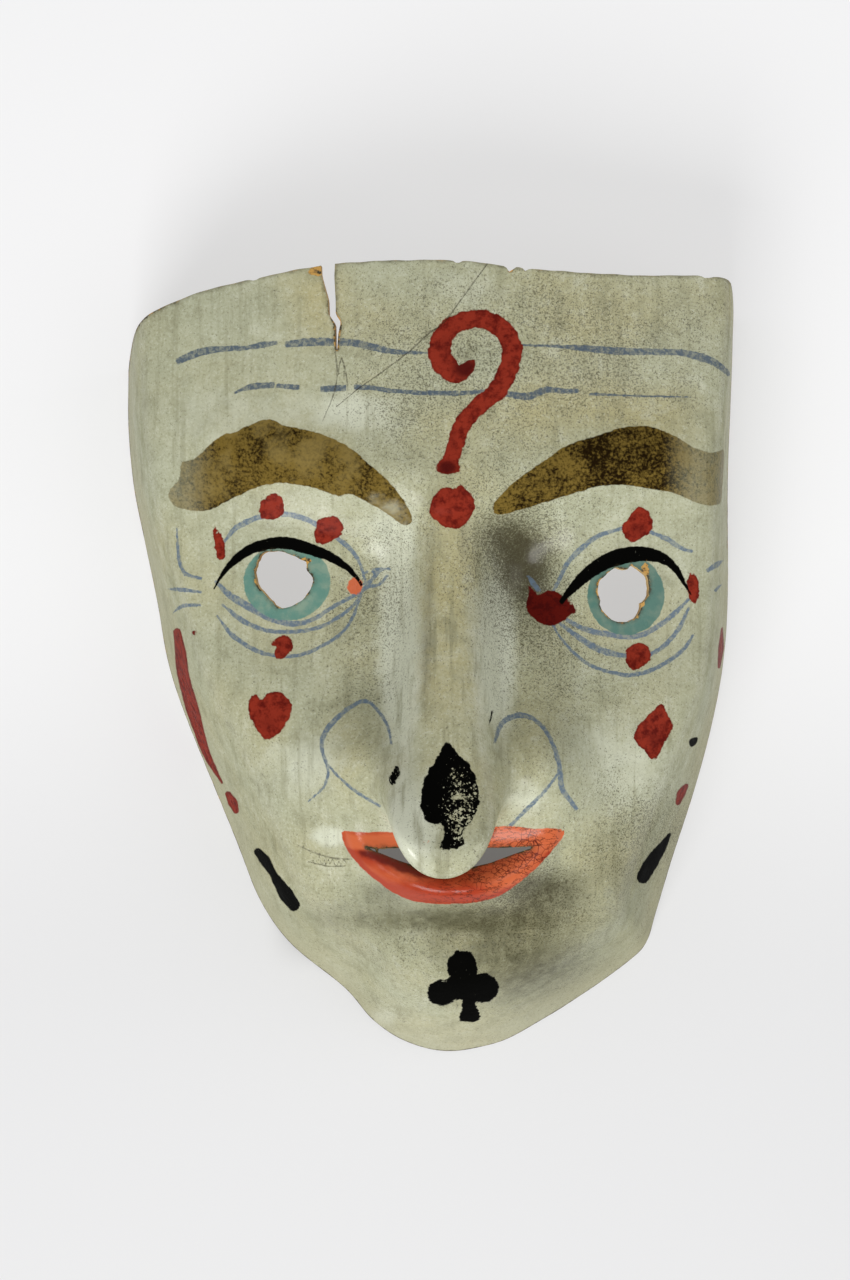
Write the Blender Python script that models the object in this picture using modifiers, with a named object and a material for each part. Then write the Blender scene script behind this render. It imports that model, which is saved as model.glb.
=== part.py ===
"""A carnival mask of moulded paper pulp, lying face up on its rim.

The mask is one thin shell. Its face is a height over the plan, read from a few
named swellings and hollows. Plan places and carving are shares of the mask's own
width and length, so u = x / MASK_WIDTH and v = y / MASK_LENGTH. +X is the right
hand side as seen from the front, +Y points to the forehead, and +Z out of the face.
"""
import math

import bmesh
import bpy
import numpy as np

# Driving sizes, in metres
MASK_WIDTH = 0.160
MASK_LENGTH = 0.204
SHELL_THICKNESS = 0.0016
FACE_HEIGHT = 0.060
SIDE_FALL = 0.016
FOREHEAD_FALL = 0.004
CHIN_FALL = 0.008
NOSE_RISE = 0.034
NOSE_LEAN = 0.0182
LIP_RISE = 0.0075
LIP_HALF_THICKNESS = 0.0034
EYE_HOLE_SIZE = 0.0138
MOUTH_SLOT_LENGTH = 0.042
MOUTH_SLOT_HEIGHT = 0.0052
CRACK_LENGTH = 0.0215
CRACK_GAP = 0.0030

# How finely the sheet is divided
CELLS_ACROSS = 46
FRONT_RING_SHARE = 0.66
EDGE_RING_SHARE = 0.82
SLAB_THICKNESS = 0.004
TRIM_DEPTH = 0.0025

# Colour of the painted ground
GROUND_COLOUR = (0.42, 0.42, 0.30, 1.0)
GROUND_ROUGHNESS = 0.42

# The polar centre of the plan, and the line down the middle of the face
MIDLINE_U = 0.034
CENTRE = (MIDLINE_U, -0.025)

# The rim as seen from the front, from the left temple down round the chin
SIDE_RIM = [
    (-0.500, 0.378), (-0.500, 0.308), (-0.491, 0.235), (-0.473, 0.166),
    (-0.453, 0.088), (-0.435, 0.010), (-0.402, -0.068), (-0.321, -0.224),
    (-0.281, -0.302), (-0.228, -0.360), (-0.141, -0.416), (-0.096, -0.457),
    (-0.041, -0.487), (0.025, -0.500), (0.099, -0.491), (0.158, -0.471),
    (0.262, -0.419), (0.331, -0.379), (0.358, -0.355), (0.374, -0.315),
    (0.399, -0.250), (0.441, -0.146), (0.467, -0.068), (0.485, 0.010),
    (0.492, 0.088), (0.492, 0.243), (0.497, 0.347), (0.500, 0.425),
]
# The cut edge over the forehead, from right to left
FOREHEAD_EDGE = [
    (0.497, 0.465), (0.472, 0.482), (0.422, 0.486), (0.332, 0.484), (0.233, 0.486),
    (0.139, 0.491), (0.046, 0.499), (-0.047, 0.500), (-0.140, 0.497),
    (-0.209, 0.490), (-0.283, 0.479), (-0.345, 0.469), (-0.400, 0.455),
    (-0.450, 0.437), (-0.483, 0.411),
]
# Where the side walls would close over the head, were it not cut open
HIDDEN_CROWN = [
    (0.500, 0.500), (0.480, 0.620), (0.330, 0.740), (0.034, 0.800),
    (-0.270, 0.740), (-0.450, 0.620), (-0.495, 0.480),
]

# Side wall by direction from the centre: degrees, wall slope in degrees, and the
# rounding between wall and face in metres
WALL_BY_DIRECTION = [
    (-180, 77, 0.013), (-150, 76, 0.012), (-125, 74, 0.011), (-105, 69, 0.018),
    (-90, 67, 0.022), (-75, 69, 0.020), (-52, 74, 0.016), (-30, 77, 0.014),
    (0, 81, 0.013), (90, 81, 0.013), (180, 77, 0.013),
]

# Swellings and hollows: centre, reach across and along as shares, rise in metres,
# and turn in degrees
LOBES = {
    "forehead": ((0.035, 0.300), (0.240, 0.130), 0.0020, 0),
    "brow_left": ((-0.200, 0.262), (0.140, 0.036), 0.0036, -10),
    "brow_right": ((0.285, 0.252), (0.140, 0.036), 0.0036, 8),
    "brow_left_inner": ((-0.060, 0.215), (0.045, 0.030), 0.0026, -25),
    "brow_right_inner": ((0.130, 0.205), (0.045, 0.030), 0.0026, 25),
    "socket_left": ((-0.215, 0.115), (0.135, 0.062), -0.0060, 0),
    "socket_right": ((0.285, 0.102), (0.135, 0.062), -0.0060, 0),
    "eyeball_left": ((-0.225, 0.113), (0.080, 0.036), 0.0034, 0),
    "eyeball_right": ((0.293, 0.098), (0.080, 0.036), 0.0034, 0),
    "tear_pit_left": ((-0.075, 0.125), (0.045, 0.050), -0.0050, 0),
    "tear_pit_right": ((0.142, 0.125), (0.045, 0.055), -0.0070, 0),
    "cheek_left": ((-0.225, -0.075), (0.105, 0.072), 0.0042, 0),
    "cheek_right": ((0.300, -0.086), (0.105, 0.072), 0.0042, 0),
    "fold_left": ((-0.190, -0.125), (0.030, 0.050), 0.0022, 24),
    "fold_right": ((0.245, -0.130), (0.030, 0.050), 0.0022, -24),
    "muzzle": ((0.034, -0.218), (0.160, 0.075), 0.0050, 0),
    "under_lip_hollow": ((0.034, -0.322), (0.120, 0.024), -0.0055, 0),
    "chin": ((0.038, -0.385), (0.105, 0.055), 0.0060, 0),
    "jaw_hollow_left": ((-0.150, -0.300), (0.060, 0.060), -0.0022, 30),
    "jaw_hollow_right": ((0.215, -0.310), (0.060, 0.060), -0.0022, -30),
}
NOSE_WINGS = {
    "wing_left": ((-0.098, -0.112), (0.054, 0.046), 0.0135, -12),
    "wing_right": ((0.156, -0.114), (0.054, 0.046), 0.0135, 12),
}
NOSE_ROOT = (0.034, 0.190)
NOSE_TIP = (0.018, -0.116)
NOSE_HALF_WIDTHS = (0.043, 0.086)
NOSE_SOFTNESS = (0.42, 0.20)
NOSE_ROUNDING = 0.20

# The lower lip is a roll along a shallow curve
LIP_CREST_V = -0.264
LIP_CORNER_LIFT = 0.058
LIP_HALF_SPAN = 0.165

# Holes. Eye holes are outlines about their own middles, as shares of EYE_HOLE_SIZE
EYE_HOLES = {
    "left": ((-0.2285, 0.1120), [
        (-0.33, 0.49), (0.00, 0.49), (0.14, 0.42), (0.38, 0.33), (0.42, 0.17),
        (0.52, 0.03), (0.50, -0.16), (0.33, -0.37), (0.10, -0.49), (-0.13, -0.50),
        (-0.32, -0.30), (-0.47, -0.13), (-0.53, 0.12), (-0.47, 0.36),
    ]),
    "right": ((0.2990, 0.0960), [
        (-0.13, 0.44), (0.05, 0.40), (0.16, 0.50), (0.32, 0.38), (0.46, 0.24),
        (0.46, -0.08), (0.33, -0.22), (0.30, -0.38), (0.12, -0.52), (-0.12, -0.52),
        (-0.36, -0.34), (-0.44, -0.10), (-0.46, 0.13), (-0.30, 0.33),
    ]),
}
# The mouth slot, as shares of its length and height about the middle of its top edge
MOUTH_SLOT_MIDDLE = (0.032, -0.2130)
MOUTH_SLOT = [
    (-0.50, 0.06), (-0.30, 0.00), (0.00, 0.00), (0.30, 0.00), (0.50, 0.10),
    (0.38, -0.18), (0.22, -0.66), (0.10, -0.94), (-0.05, -1.00), (-0.20, -0.86),
    (-0.31, -0.54), (-0.42, -0.20),
]
# The open crack in the forehead: distance down it and the places of its two sides,
# as shares of its length and of its widest gap
CRACK_TOP = (-0.1490, 0.4960)
CRACK_LEFT_SIDE = [
    (-0.30, -1.30), (0.13, -1.11), (0.25, -0.85), (0.42, -0.53), (0.60, -0.45),
    (0.70, 0.02), (1.00, 0.12),
]
CRACK_RIGHT_SIDE = [
    (1.00, 0.26), (0.80, 0.36), (0.68, 0.45), (0.60, 0.11), (0.42, 0.05),
    (0.16, -0.04), (-0.30, 0.10),
]


def smooth_outline(points, steps=6):
    """Points along a closed Catmull-Rom curve through the given ones."""
    pts = np.array(points, float)
    before, after, beyond = (np.roll(pts, k, axis=0) for k in (1, -1, -2))
    rows = []
    for t in np.arange(steps) / steps:
        rows.append(0.5 * (2 * pts + (after - before) * t
                           + (2 * before - 5 * pts + 4 * after - beyond) * t ** 2
                           + (3 * pts - before - 3 * after + beyond) * t ** 3))
    return np.stack(rows, axis=1).reshape(-1, 2)


def polar(x, y):
    """Direction and distance of plan places from the polar centre."""
    dx, dy = x - CENTRE[0] * MASK_WIDTH, y - CENTRE[1] * MASK_LENGTH
    return np.arctan2(dy, dx), np.hypot(dx, dy)


def reach_function(points):
    """A function that gives an outline's distance from the centre by direction."""
    curve = smooth_outline(points) * (MASK_WIDTH, MASK_LENGTH)
    direction, reach = polar(curve[:, 0], curve[:, 1])
    order = np.argsort(direction)
    return lambda angle: np.interp(angle, direction[order], reach[order], period=2 * math.pi)


rim_reach = reach_function(SIDE_RIM + FOREHEAD_EDGE)
wall_reach = reach_function(SIDE_RIM + HIDDEN_CROWN)


def by_direction(angle, column):
    """A value of WALL_BY_DIRECTION, read in between the directions that it gives."""
    table = np.array(WALL_BY_DIRECTION, float)
    return np.interp(np.degrees(angle), table[:, 0], table[:, column])


def lobe(x, y, centre, reach, rise, turn):
    """A smooth swelling, or a hollow where rise is negative."""
    dx, dy = x - centre[0] * MASK_WIDTH, y - centre[1] * MASK_LENGTH
    c, s = math.cos(math.radians(turn)), math.sin(math.radians(turn))
    across = (dx * c + dy * s) / (reach[0] * MASK_WIDTH)
    along = (dy * c - dx * s) / (reach[1] * MASK_LENGTH)
    return rise * np.exp(-0.5 * (across ** 2 + along ** 2))


def nose(x, y):
    """How far up the nose each place is: 0 on the face, and 1 on top of its tip."""
    size = np.array((MASK_WIDTH, MASK_LENGTH))
    root, tip = np.array(NOSE_ROOT) * size, np.array(NOSE_TIP) * size
    run = tip - root
    t = ((x - root[0]) * run[0] + (y - root[1]) * run[1]) / (run @ run)
    t_on = np.clip(t, 0, 1)
    away = np.hypot(x - root[0] - t_on * run[0], y - root[1] - t_on * run[1])
    half_width = np.interp(t_on, (0, 1), NOSE_HALF_WIDTHS) * MASK_WIDTH
    softness = np.interp(t_on, (0, 1), NOSE_SOFTNESS)
    side = away / half_width
    flank = 0.5 * (1 - np.tanh((side - 1) / softness))
    rounded = 1 - NOSE_ROUNDING * np.clip(side, 0, 1.2) ** 2
    return (0.06 + 0.94 * t_on) * flank * rounded


def lip_roll(x, y):
    """The rounded roll of the lower lip, which dies away at the mouth's corners."""
    span = (x - MIDLINE_U * MASK_WIDTH) / (LIP_HALF_SPAN * MASK_WIDTH)
    crest = (LIP_CREST_V + LIP_CORNER_LIFT * span ** 2) * MASK_LENGTH
    slope = 2 * LIP_CORNER_LIFT * MASK_LENGTH * span / (LIP_HALF_SPAN * MASK_WIDTH)
    off = (y - crest) / np.hypot(1, slope) / LIP_HALF_THICKNESS
    return LIP_RISE * np.clip(1 - span ** 2, 0, 1) ** 0.7 * np.exp(-0.5 * off ** 2)


def face(x, y):
    """Height of the face before the side walls turn down."""
    across = (x / MASK_WIDTH - MIDLINE_U) / 0.5
    v = y / MASK_LENGTH
    height = FACE_HEIGHT - SIDE_FALL * across ** 2
    height = height - FOREHEAD_FALL * np.clip((v - 0.2) / 0.3, 0, None) ** 2
    height = height - CHIN_FALL * np.clip((-0.2 - v) / 0.3, 0, None) ** 2
    for shape in LOBES.values():
        height = height + lobe(x, y, *shape)
    for shape in NOSE_WINGS.values():
        height = height + lobe(x, y, *shape)
    return height + lip_roll(x, y)


def surface(x, y):
    """The outside of the mask over plan places, as an array of points."""
    angle, distance = polar(x, y)
    wall = (wall_reach(angle) - distance) * np.tan(np.radians(by_direction(angle, 1)))
    rounding = by_direction(angle, 2)
    front = face(x, y)
    height = 0.5 * (front + wall - np.sqrt((front - wall) ** 2 + rounding ** 2))
    up = nose(x, y)
    return np.stack([x, y - NOSE_LEAN * up, height + NOSE_RISE * up], axis=1)


def plan_place(a, b):
    """Where a cell corner at a, b in a square of -1 to 1 lies on the mask's plan.

    Rings of the square become rings of the rim's own outline. They lie closest
    together where the face turns over into the side walls.
    """
    ring = np.maximum(np.abs(a), np.abs(b))
    safe_a, safe_b = np.where(a == 0, 1e-9, a), np.where(b == 0, 1e-9, b)
    turn_a = math.pi / 4 * b / safe_a + np.where(a < 0, math.pi, 0)
    turn_b = math.pi / 2 - math.pi / 4 * a / safe_b + np.where(b < 0, math.pi, 0)
    angle = np.where(np.abs(a) >= np.abs(b), turn_a, turn_b)
    angle = (angle + math.pi) % (2 * math.pi) - math.pi
    open_top = np.clip((np.sin(angle) - 0.55) / 0.35, 0, 1)
    steep = np.tan(np.radians(by_direction(angle, 1)))
    reach = rim_reach(angle) + TRIM_DEPTH / steep * (1 - open_top)
    rounding = by_direction(angle, 2)
    turn_starts = 1 - (FACE_HEIGHT + 0.6 * rounding) / steep / reach
    turn_ends = 1 - (FACE_HEIGHT - 1.2 * rounding) / steep / reach
    on_front = ring / FRONT_RING_SHARE
    on_turn = (ring - FRONT_RING_SHARE) / (EDGE_RING_SHARE - FRONT_RING_SHARE)
    on_wall = (ring - EDGE_RING_SHARE) / (1 - EDGE_RING_SHARE)
    walled = turn_starts * np.clip(on_front, 0, 1)
    walled = walled + (turn_ends - turn_starts) * np.clip(on_turn, 0, 1)
    walled = walled + (1 - turn_ends) * np.clip(on_wall, 0, 1)
    share = walled + (ring - walled) * open_top
    centre = np.array(CENTRE) * (MASK_WIDTH, MASK_LENGTH)
    return centre[0] + share * reach * np.cos(angle), centre[1] + share * reach * np.sin(angle)


def clear_scene():
    """Removes what the file opened with."""
    for old in list(bpy.data.objects):
        bpy.data.objects.remove(old)


def new_collection(name):
    """A collection linked to the scene."""
    made = bpy.data.collections.new(name)
    bpy.context.scene.collection.children.link(made)
    return made


def flat_sheet(collection):
    """A slab of the mask's plan, divided into rings, with its middle at z = 0."""
    mesh = bpy.data.meshes.new("mask")
    bm = bmesh.new()
    bmesh.ops.create_grid(bm, x_segments=CELLS_ACROSS, y_segments=CELLS_ACROSS, size=1)
    corners = np.array([v.co for v in bm.verts])
    x, y = plan_place(corners[:, 0], corners[:, 1])
    for vert, px, py in zip(bm.verts, x, y):
        vert.co = (px, py, 0)
    bm.to_mesh(mesh)
    bm.free()
    sheet = bpy.data.objects.new("mask", mesh)
    collection.objects.link(sheet)
    slab = sheet.modifiers.new("slab", "SOLIDIFY")
    slab.thickness = SLAB_THICKNESS
    slab.offset = 0
    return sheet


def prism(name, outline, collection, depth=0.03):
    """An upright cutter with the given plan outline."""
    curve = bpy.data.curves.new(name, "CURVE")
    curve.dimensions = "2D"
    curve.fill_mode = "BOTH"
    curve.extrude = depth / 2
    spline = curve.splines.new("POLY")
    spline.points.add(len(outline) - 1)
    for point, (x, y) in zip(spline.points, outline):
        point.co = (x, y, 0, 1)
    spline.use_cyclic_u = True
    drawn = bpy.data.objects.new(name, curve)
    collection.objects.link(drawn)
    bpy.context.view_layer.update()
    mesh = bpy.data.meshes.new_from_object(drawn.evaluated_get(bpy.context.evaluated_depsgraph_get()))
    bpy.data.objects.remove(drawn)
    bm = bmesh.new()
    bm.from_mesh(mesh)
    bmesh.ops.remove_doubles(bm, verts=bm.verts, dist=1e-6)
    bmesh.ops.recalc_face_normals(bm, faces=bm.faces)
    bm.to_mesh(mesh)
    bm.free()
    return hidden_cutter(bpy.data.objects.new(name, mesh), collection)


def hidden_cutter(cutter, collection):
    """Links a cutter and marks it as a guide that isn't part of the mask."""
    collection.objects.link(cutter)
    cutter.hide_render = True
    cutter.display_type = "WIRE"
    return cutter


def cut(target, cutter):
    """Takes a cutter's shape out of a solid."""
    boolean = target.modifiers.new(cutter.name, "BOOLEAN")
    boolean.operation = "DIFFERENCE"
    boolean.object = cutter


def apply_modifiers(target):
    """Keeps the evaluated mesh as the object's own."""
    bpy.context.view_layer.update()
    seen = target.evaluated_get(bpy.context.evaluated_depsgraph_get())
    mesh = bpy.data.meshes.new_from_object(seen)
    target.modifiers.clear()
    target.data = mesh


def eye_outline(side):
    """Plan outline of one eye hole."""
    centre, shares = EYE_HOLES[side]
    middle = np.array(centre) * (MASK_WIDTH, MASK_LENGTH)
    return middle + smooth_outline(shares, 2) * EYE_HOLE_SIZE


def mouth_outline():
    """Plan outline of the slot between the lips."""
    middle = np.array(MOUTH_SLOT_MIDDLE) * (MASK_WIDTH, MASK_LENGTH)
    return middle + np.array(MOUTH_SLOT) * (MOUTH_SLOT_LENGTH, MOUTH_SLOT_HEIGHT)


def crack_outline():
    """Plan outline of the open crack, down its left side and up its right."""
    top = np.array(CRACK_TOP) * (MASK_WIDTH, MASK_LENGTH)
    sides = np.array(CRACK_LEFT_SIDE + CRACK_RIGHT_SIDE)
    return np.stack([top[0] + sides[:, 1] * CRACK_GAP, top[1] - sides[:, 0] * CRACK_LENGTH], axis=1)


def cut_holes(sheet, cutters):
    """Opens the eyes, the mouth and the crack in the flat slab."""
    for side in EYE_HOLES:
        cut(sheet, prism("eye_cutter_" + side, eye_outline(side), cutters))
    cut(sheet, prism("mouth_cutter", mouth_outline(), cutters))
    cut(sheet, prism("crack_cutter", crack_outline(), cutters))
    apply_modifiers(sheet)


def raise_face(sheet):
    """Keeps the slab's top skin and moves it up to the mask's outside."""
    bm = bmesh.new()
    bm.from_mesh(sheet.data)
    bm.normal_update()
    other = [f for f in bm.faces if f.normal.z < 0.5]
    bmesh.ops.delete(bm, geom=other, context="FACES")
    bmesh.ops.remove_doubles(bm, verts=bm.verts, dist=2e-5)
    bmesh.ops.triangulate(bm, faces=[f for f in bm.faces if len(f.verts) > 4])
    flat = np.array([v.co for v in bm.verts])
    for vert, place in zip(bm.verts, surface(flat[:, 0], flat[:, 1])):
        vert.co = place
    bm.to_mesh(sheet.data)
    bm.free()


def give_wall(sheet):
    """Gives the skin its thickness on the inside."""
    wall = sheet.modifiers.new("wall", "SOLIDIFY")
    wall.thickness = SHELL_THICKNESS
    wall.offset = -1


def trim_rim(sheet, cutters):
    """Cuts the rim flat at z = 0, the surface that the mask lies on."""
    side = 2 * max(MASK_WIDTH, MASK_LENGTH)
    bm = bmesh.new()
    bmesh.ops.create_cube(bm, size=side)
    bmesh.ops.translate(bm, verts=bm.verts, vec=(0, 0, -side / 2))
    mesh = bpy.data.meshes.new("rim_cutter")
    bm.to_mesh(mesh)
    bm.free()
    cut(sheet, hidden_cutter(bpy.data.objects.new("rim_cutter", mesh), cutters))
    apply_modifiers(sheet)


def centre_in_plan(sheet):
    """Puts the middle of the mask's plan at x = y = 0."""
    places = np.array([v.co for v in sheet.data.vertices])
    middle = (places.min(axis=0) + places.max(axis=0)) / 2
    for vert in sheet.data.vertices:
        vert.co.x -= middle[0]
        vert.co.y -= middle[1]


def painted_pulp():
    """Moulded paper pulp under grey-green paint and varnish."""
    material = bpy.data.materials.new("painted_pulp")
    material.use_nodes = True
    shader = material.node_tree.nodes["Principled BSDF"]
    shader.inputs["Base Color"].default_value = GROUND_COLOUR
    shader.inputs["Roughness"].default_value = GROUND_ROUGHNESS
    shader.inputs["Metallic"].default_value = 0.0
    return material


def build_mask():
    """The whole mask, as one shell."""
    clear_scene()
    pieces = new_collection("carnival_mask")
    cutters = new_collection("cutters")
    mask = flat_sheet(pieces)
    cut_holes(mask, cutters)
    raise_face(mask)
    give_wall(mask)
    trim_rim(mask, cutters)
    centre_in_plan(mask)
    mask.data.shade_smooth()
    mask.data.set_sharp_from_angle(angle=math.radians(50))
    mask.data.materials.clear()
    mask.data.materials.append(painted_pulp())


build_mask()
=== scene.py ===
"""A carnival mask of moulded paper pulp, lying face up, painted and varnished.

The mask is one thin shell. Its form comes from the same named swellings and hollows
as the part's source, on a much finer sheet. The painting is laid out on a flat sheet
as a mask painter would draw it, in units of PaintSheet.unit, and carried onto the
shell from straight above. +X is the right hand side, +Y the forehead, +Z out of the
face.
"""
from __future__ import annotations

import logging
import math
from dataclasses import dataclass, field
from enum import Enum
from typing import Callable, Sequence

import bmesh
import bpy
import numpy as np
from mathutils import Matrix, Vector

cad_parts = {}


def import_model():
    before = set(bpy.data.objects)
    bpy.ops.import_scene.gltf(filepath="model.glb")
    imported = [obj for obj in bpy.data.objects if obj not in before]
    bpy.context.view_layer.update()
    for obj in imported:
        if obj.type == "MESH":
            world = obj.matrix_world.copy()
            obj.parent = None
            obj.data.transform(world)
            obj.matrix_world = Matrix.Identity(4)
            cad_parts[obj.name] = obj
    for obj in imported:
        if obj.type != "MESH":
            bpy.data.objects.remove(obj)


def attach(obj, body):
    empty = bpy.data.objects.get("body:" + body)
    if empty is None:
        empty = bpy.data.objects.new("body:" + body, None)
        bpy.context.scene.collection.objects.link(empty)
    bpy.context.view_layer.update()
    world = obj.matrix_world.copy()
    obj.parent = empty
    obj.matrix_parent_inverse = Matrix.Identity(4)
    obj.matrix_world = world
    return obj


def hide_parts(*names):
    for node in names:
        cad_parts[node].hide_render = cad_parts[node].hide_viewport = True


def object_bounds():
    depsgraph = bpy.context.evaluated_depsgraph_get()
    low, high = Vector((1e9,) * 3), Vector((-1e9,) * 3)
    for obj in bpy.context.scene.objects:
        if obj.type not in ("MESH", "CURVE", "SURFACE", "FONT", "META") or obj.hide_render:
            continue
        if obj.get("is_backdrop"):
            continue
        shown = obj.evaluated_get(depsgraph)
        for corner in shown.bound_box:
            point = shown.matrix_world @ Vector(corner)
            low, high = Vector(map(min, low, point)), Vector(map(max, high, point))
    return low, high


LOG = logging.getLogger("carnival_mask")

Place = tuple[float, float]
Colour = tuple[float, float, float]


class Skin(Enum):
    """The three surfaces of the shell, by material slot."""

    FRONT = 0
    INSIDE = 1
    EDGE = 2


def curve_between(
    before: np.ndarray, here: np.ndarray, after: np.ndarray, beyond: np.ndarray, steps: int
) -> np.ndarray:
    """Points of a Catmull-Rom curve, stretch by stretch.

    Args:
        before: the place before each stretch.
        here: the place where it starts.
        after: the place where it ends.
        beyond: the place after that.
        steps: how many points each stretch has.

    Returns:
        The curve's points, one row each.
    """
    rows = [
        0.5
        * (
            2 * here
            + (after - before) * t
            + (2 * before - 5 * here + 4 * after - beyond) * t**2
            + (3 * here - before - 3 * after + beyond) * t**3
        )
        for t in np.arange(steps) / steps
    ]
    return np.stack(rows, axis=1).reshape(-1, 2)


def smooth_outline(points: Sequence[Place], steps: int = 6) -> np.ndarray:
    """Points along a closed Catmull-Rom curve.

    Args:
        points: the places that the curve passes through.
        steps: how many points it has from one place to the next.

    Returns:
        The curve's points, one row each.
    """
    pts = np.array(points, float)
    before, after, beyond = (np.roll(pts, k, axis=0) for k in (1, -1, -2))
    return curve_between(before, pts, after, beyond, steps)


def smooth_path(points: Sequence[Place], steps: int = 4) -> np.ndarray:
    """Points along an open Catmull-Rom curve.

    Args:
        points: the places that the curve passes through.
        steps: how many points it has from one place to the next.

    Returns:
        The curve's points, one row each.
    """
    pts = np.array(points, float)
    if len(pts) < 3:
        return pts
    ends = np.vstack([2 * pts[0] - pts[1], pts, 2 * pts[-1] - pts[-2]])
    curve = curve_between(ends[:-3], ends[1:-2], ends[2:-1], ends[3:], steps)
    return np.vstack([curve, pts[-1:]])


def inside_outline(places: np.ndarray, outline: np.ndarray) -> np.ndarray:
    """Whether places lie inside a closed outline.

    Args:
        places: the places to test, one row each.
        outline: the outline's corners in order.

    Returns:
        True for each place inside.
    """
    inside = np.zeros(len(places), bool)
    x, y = places[:, 0], places[:, 1]
    for (x0, y0), (x1, y1) in zip(outline, np.roll(outline, -1, axis=0)):
        crosses = (y0 > y) != (y1 > y)
        rise = y1 - y0 if y1 != y0 else 1e-12
        inside ^= crosses & (x < (x1 - x0) * (y - y0) / rise + x0)
    return inside


def nearest_on_path(
    places: np.ndarray, path: np.ndarray, closed: bool
) -> tuple[np.ndarray, np.ndarray, np.ndarray, np.ndarray]:
    """How places lie against a path.

    Args:
        places: the places, one row each.
        path: the path's corners in order.
        closed: whether the path runs back to its start.

    Returns:
        For each place, its distance to the path, its offset to the side of the
        nearest stretch, how far along the path it lies from 0 to 1, and the nearest
        point itself.
    """
    ends = np.roll(path, -1, axis=0) if closed else path[1:]
    starts = path if closed else path[:-1]
    lengths = np.hypot(*(ends - starts).T)
    total = max(lengths.sum(), 1e-9)
    best = np.full(len(places), 1e9)
    side = np.zeros(len(places))
    along = np.zeros(len(places))
    spot = np.zeros((len(places), 2))
    passed = 0.0
    for start, end, length in zip(starts, ends, lengths):
        if length < 1e-9:
            continue
        way = (end - start) / length
        off = places - start
        run = np.clip(off @ way, 0, length)
        near = start + run[:, None] * way
        distance = np.hypot(*(places - near).T)
        closer = distance < best
        best = np.where(closer, distance, best)
        side = np.where(closer, way[0] * off[:, 1] - way[1] * off[:, 0], side)
        along = np.where(closer, (passed + run) / total, along)
        spot = np.where(closer[:, None], near, spot)
        passed += length
    return best, side, along, spot


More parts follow.
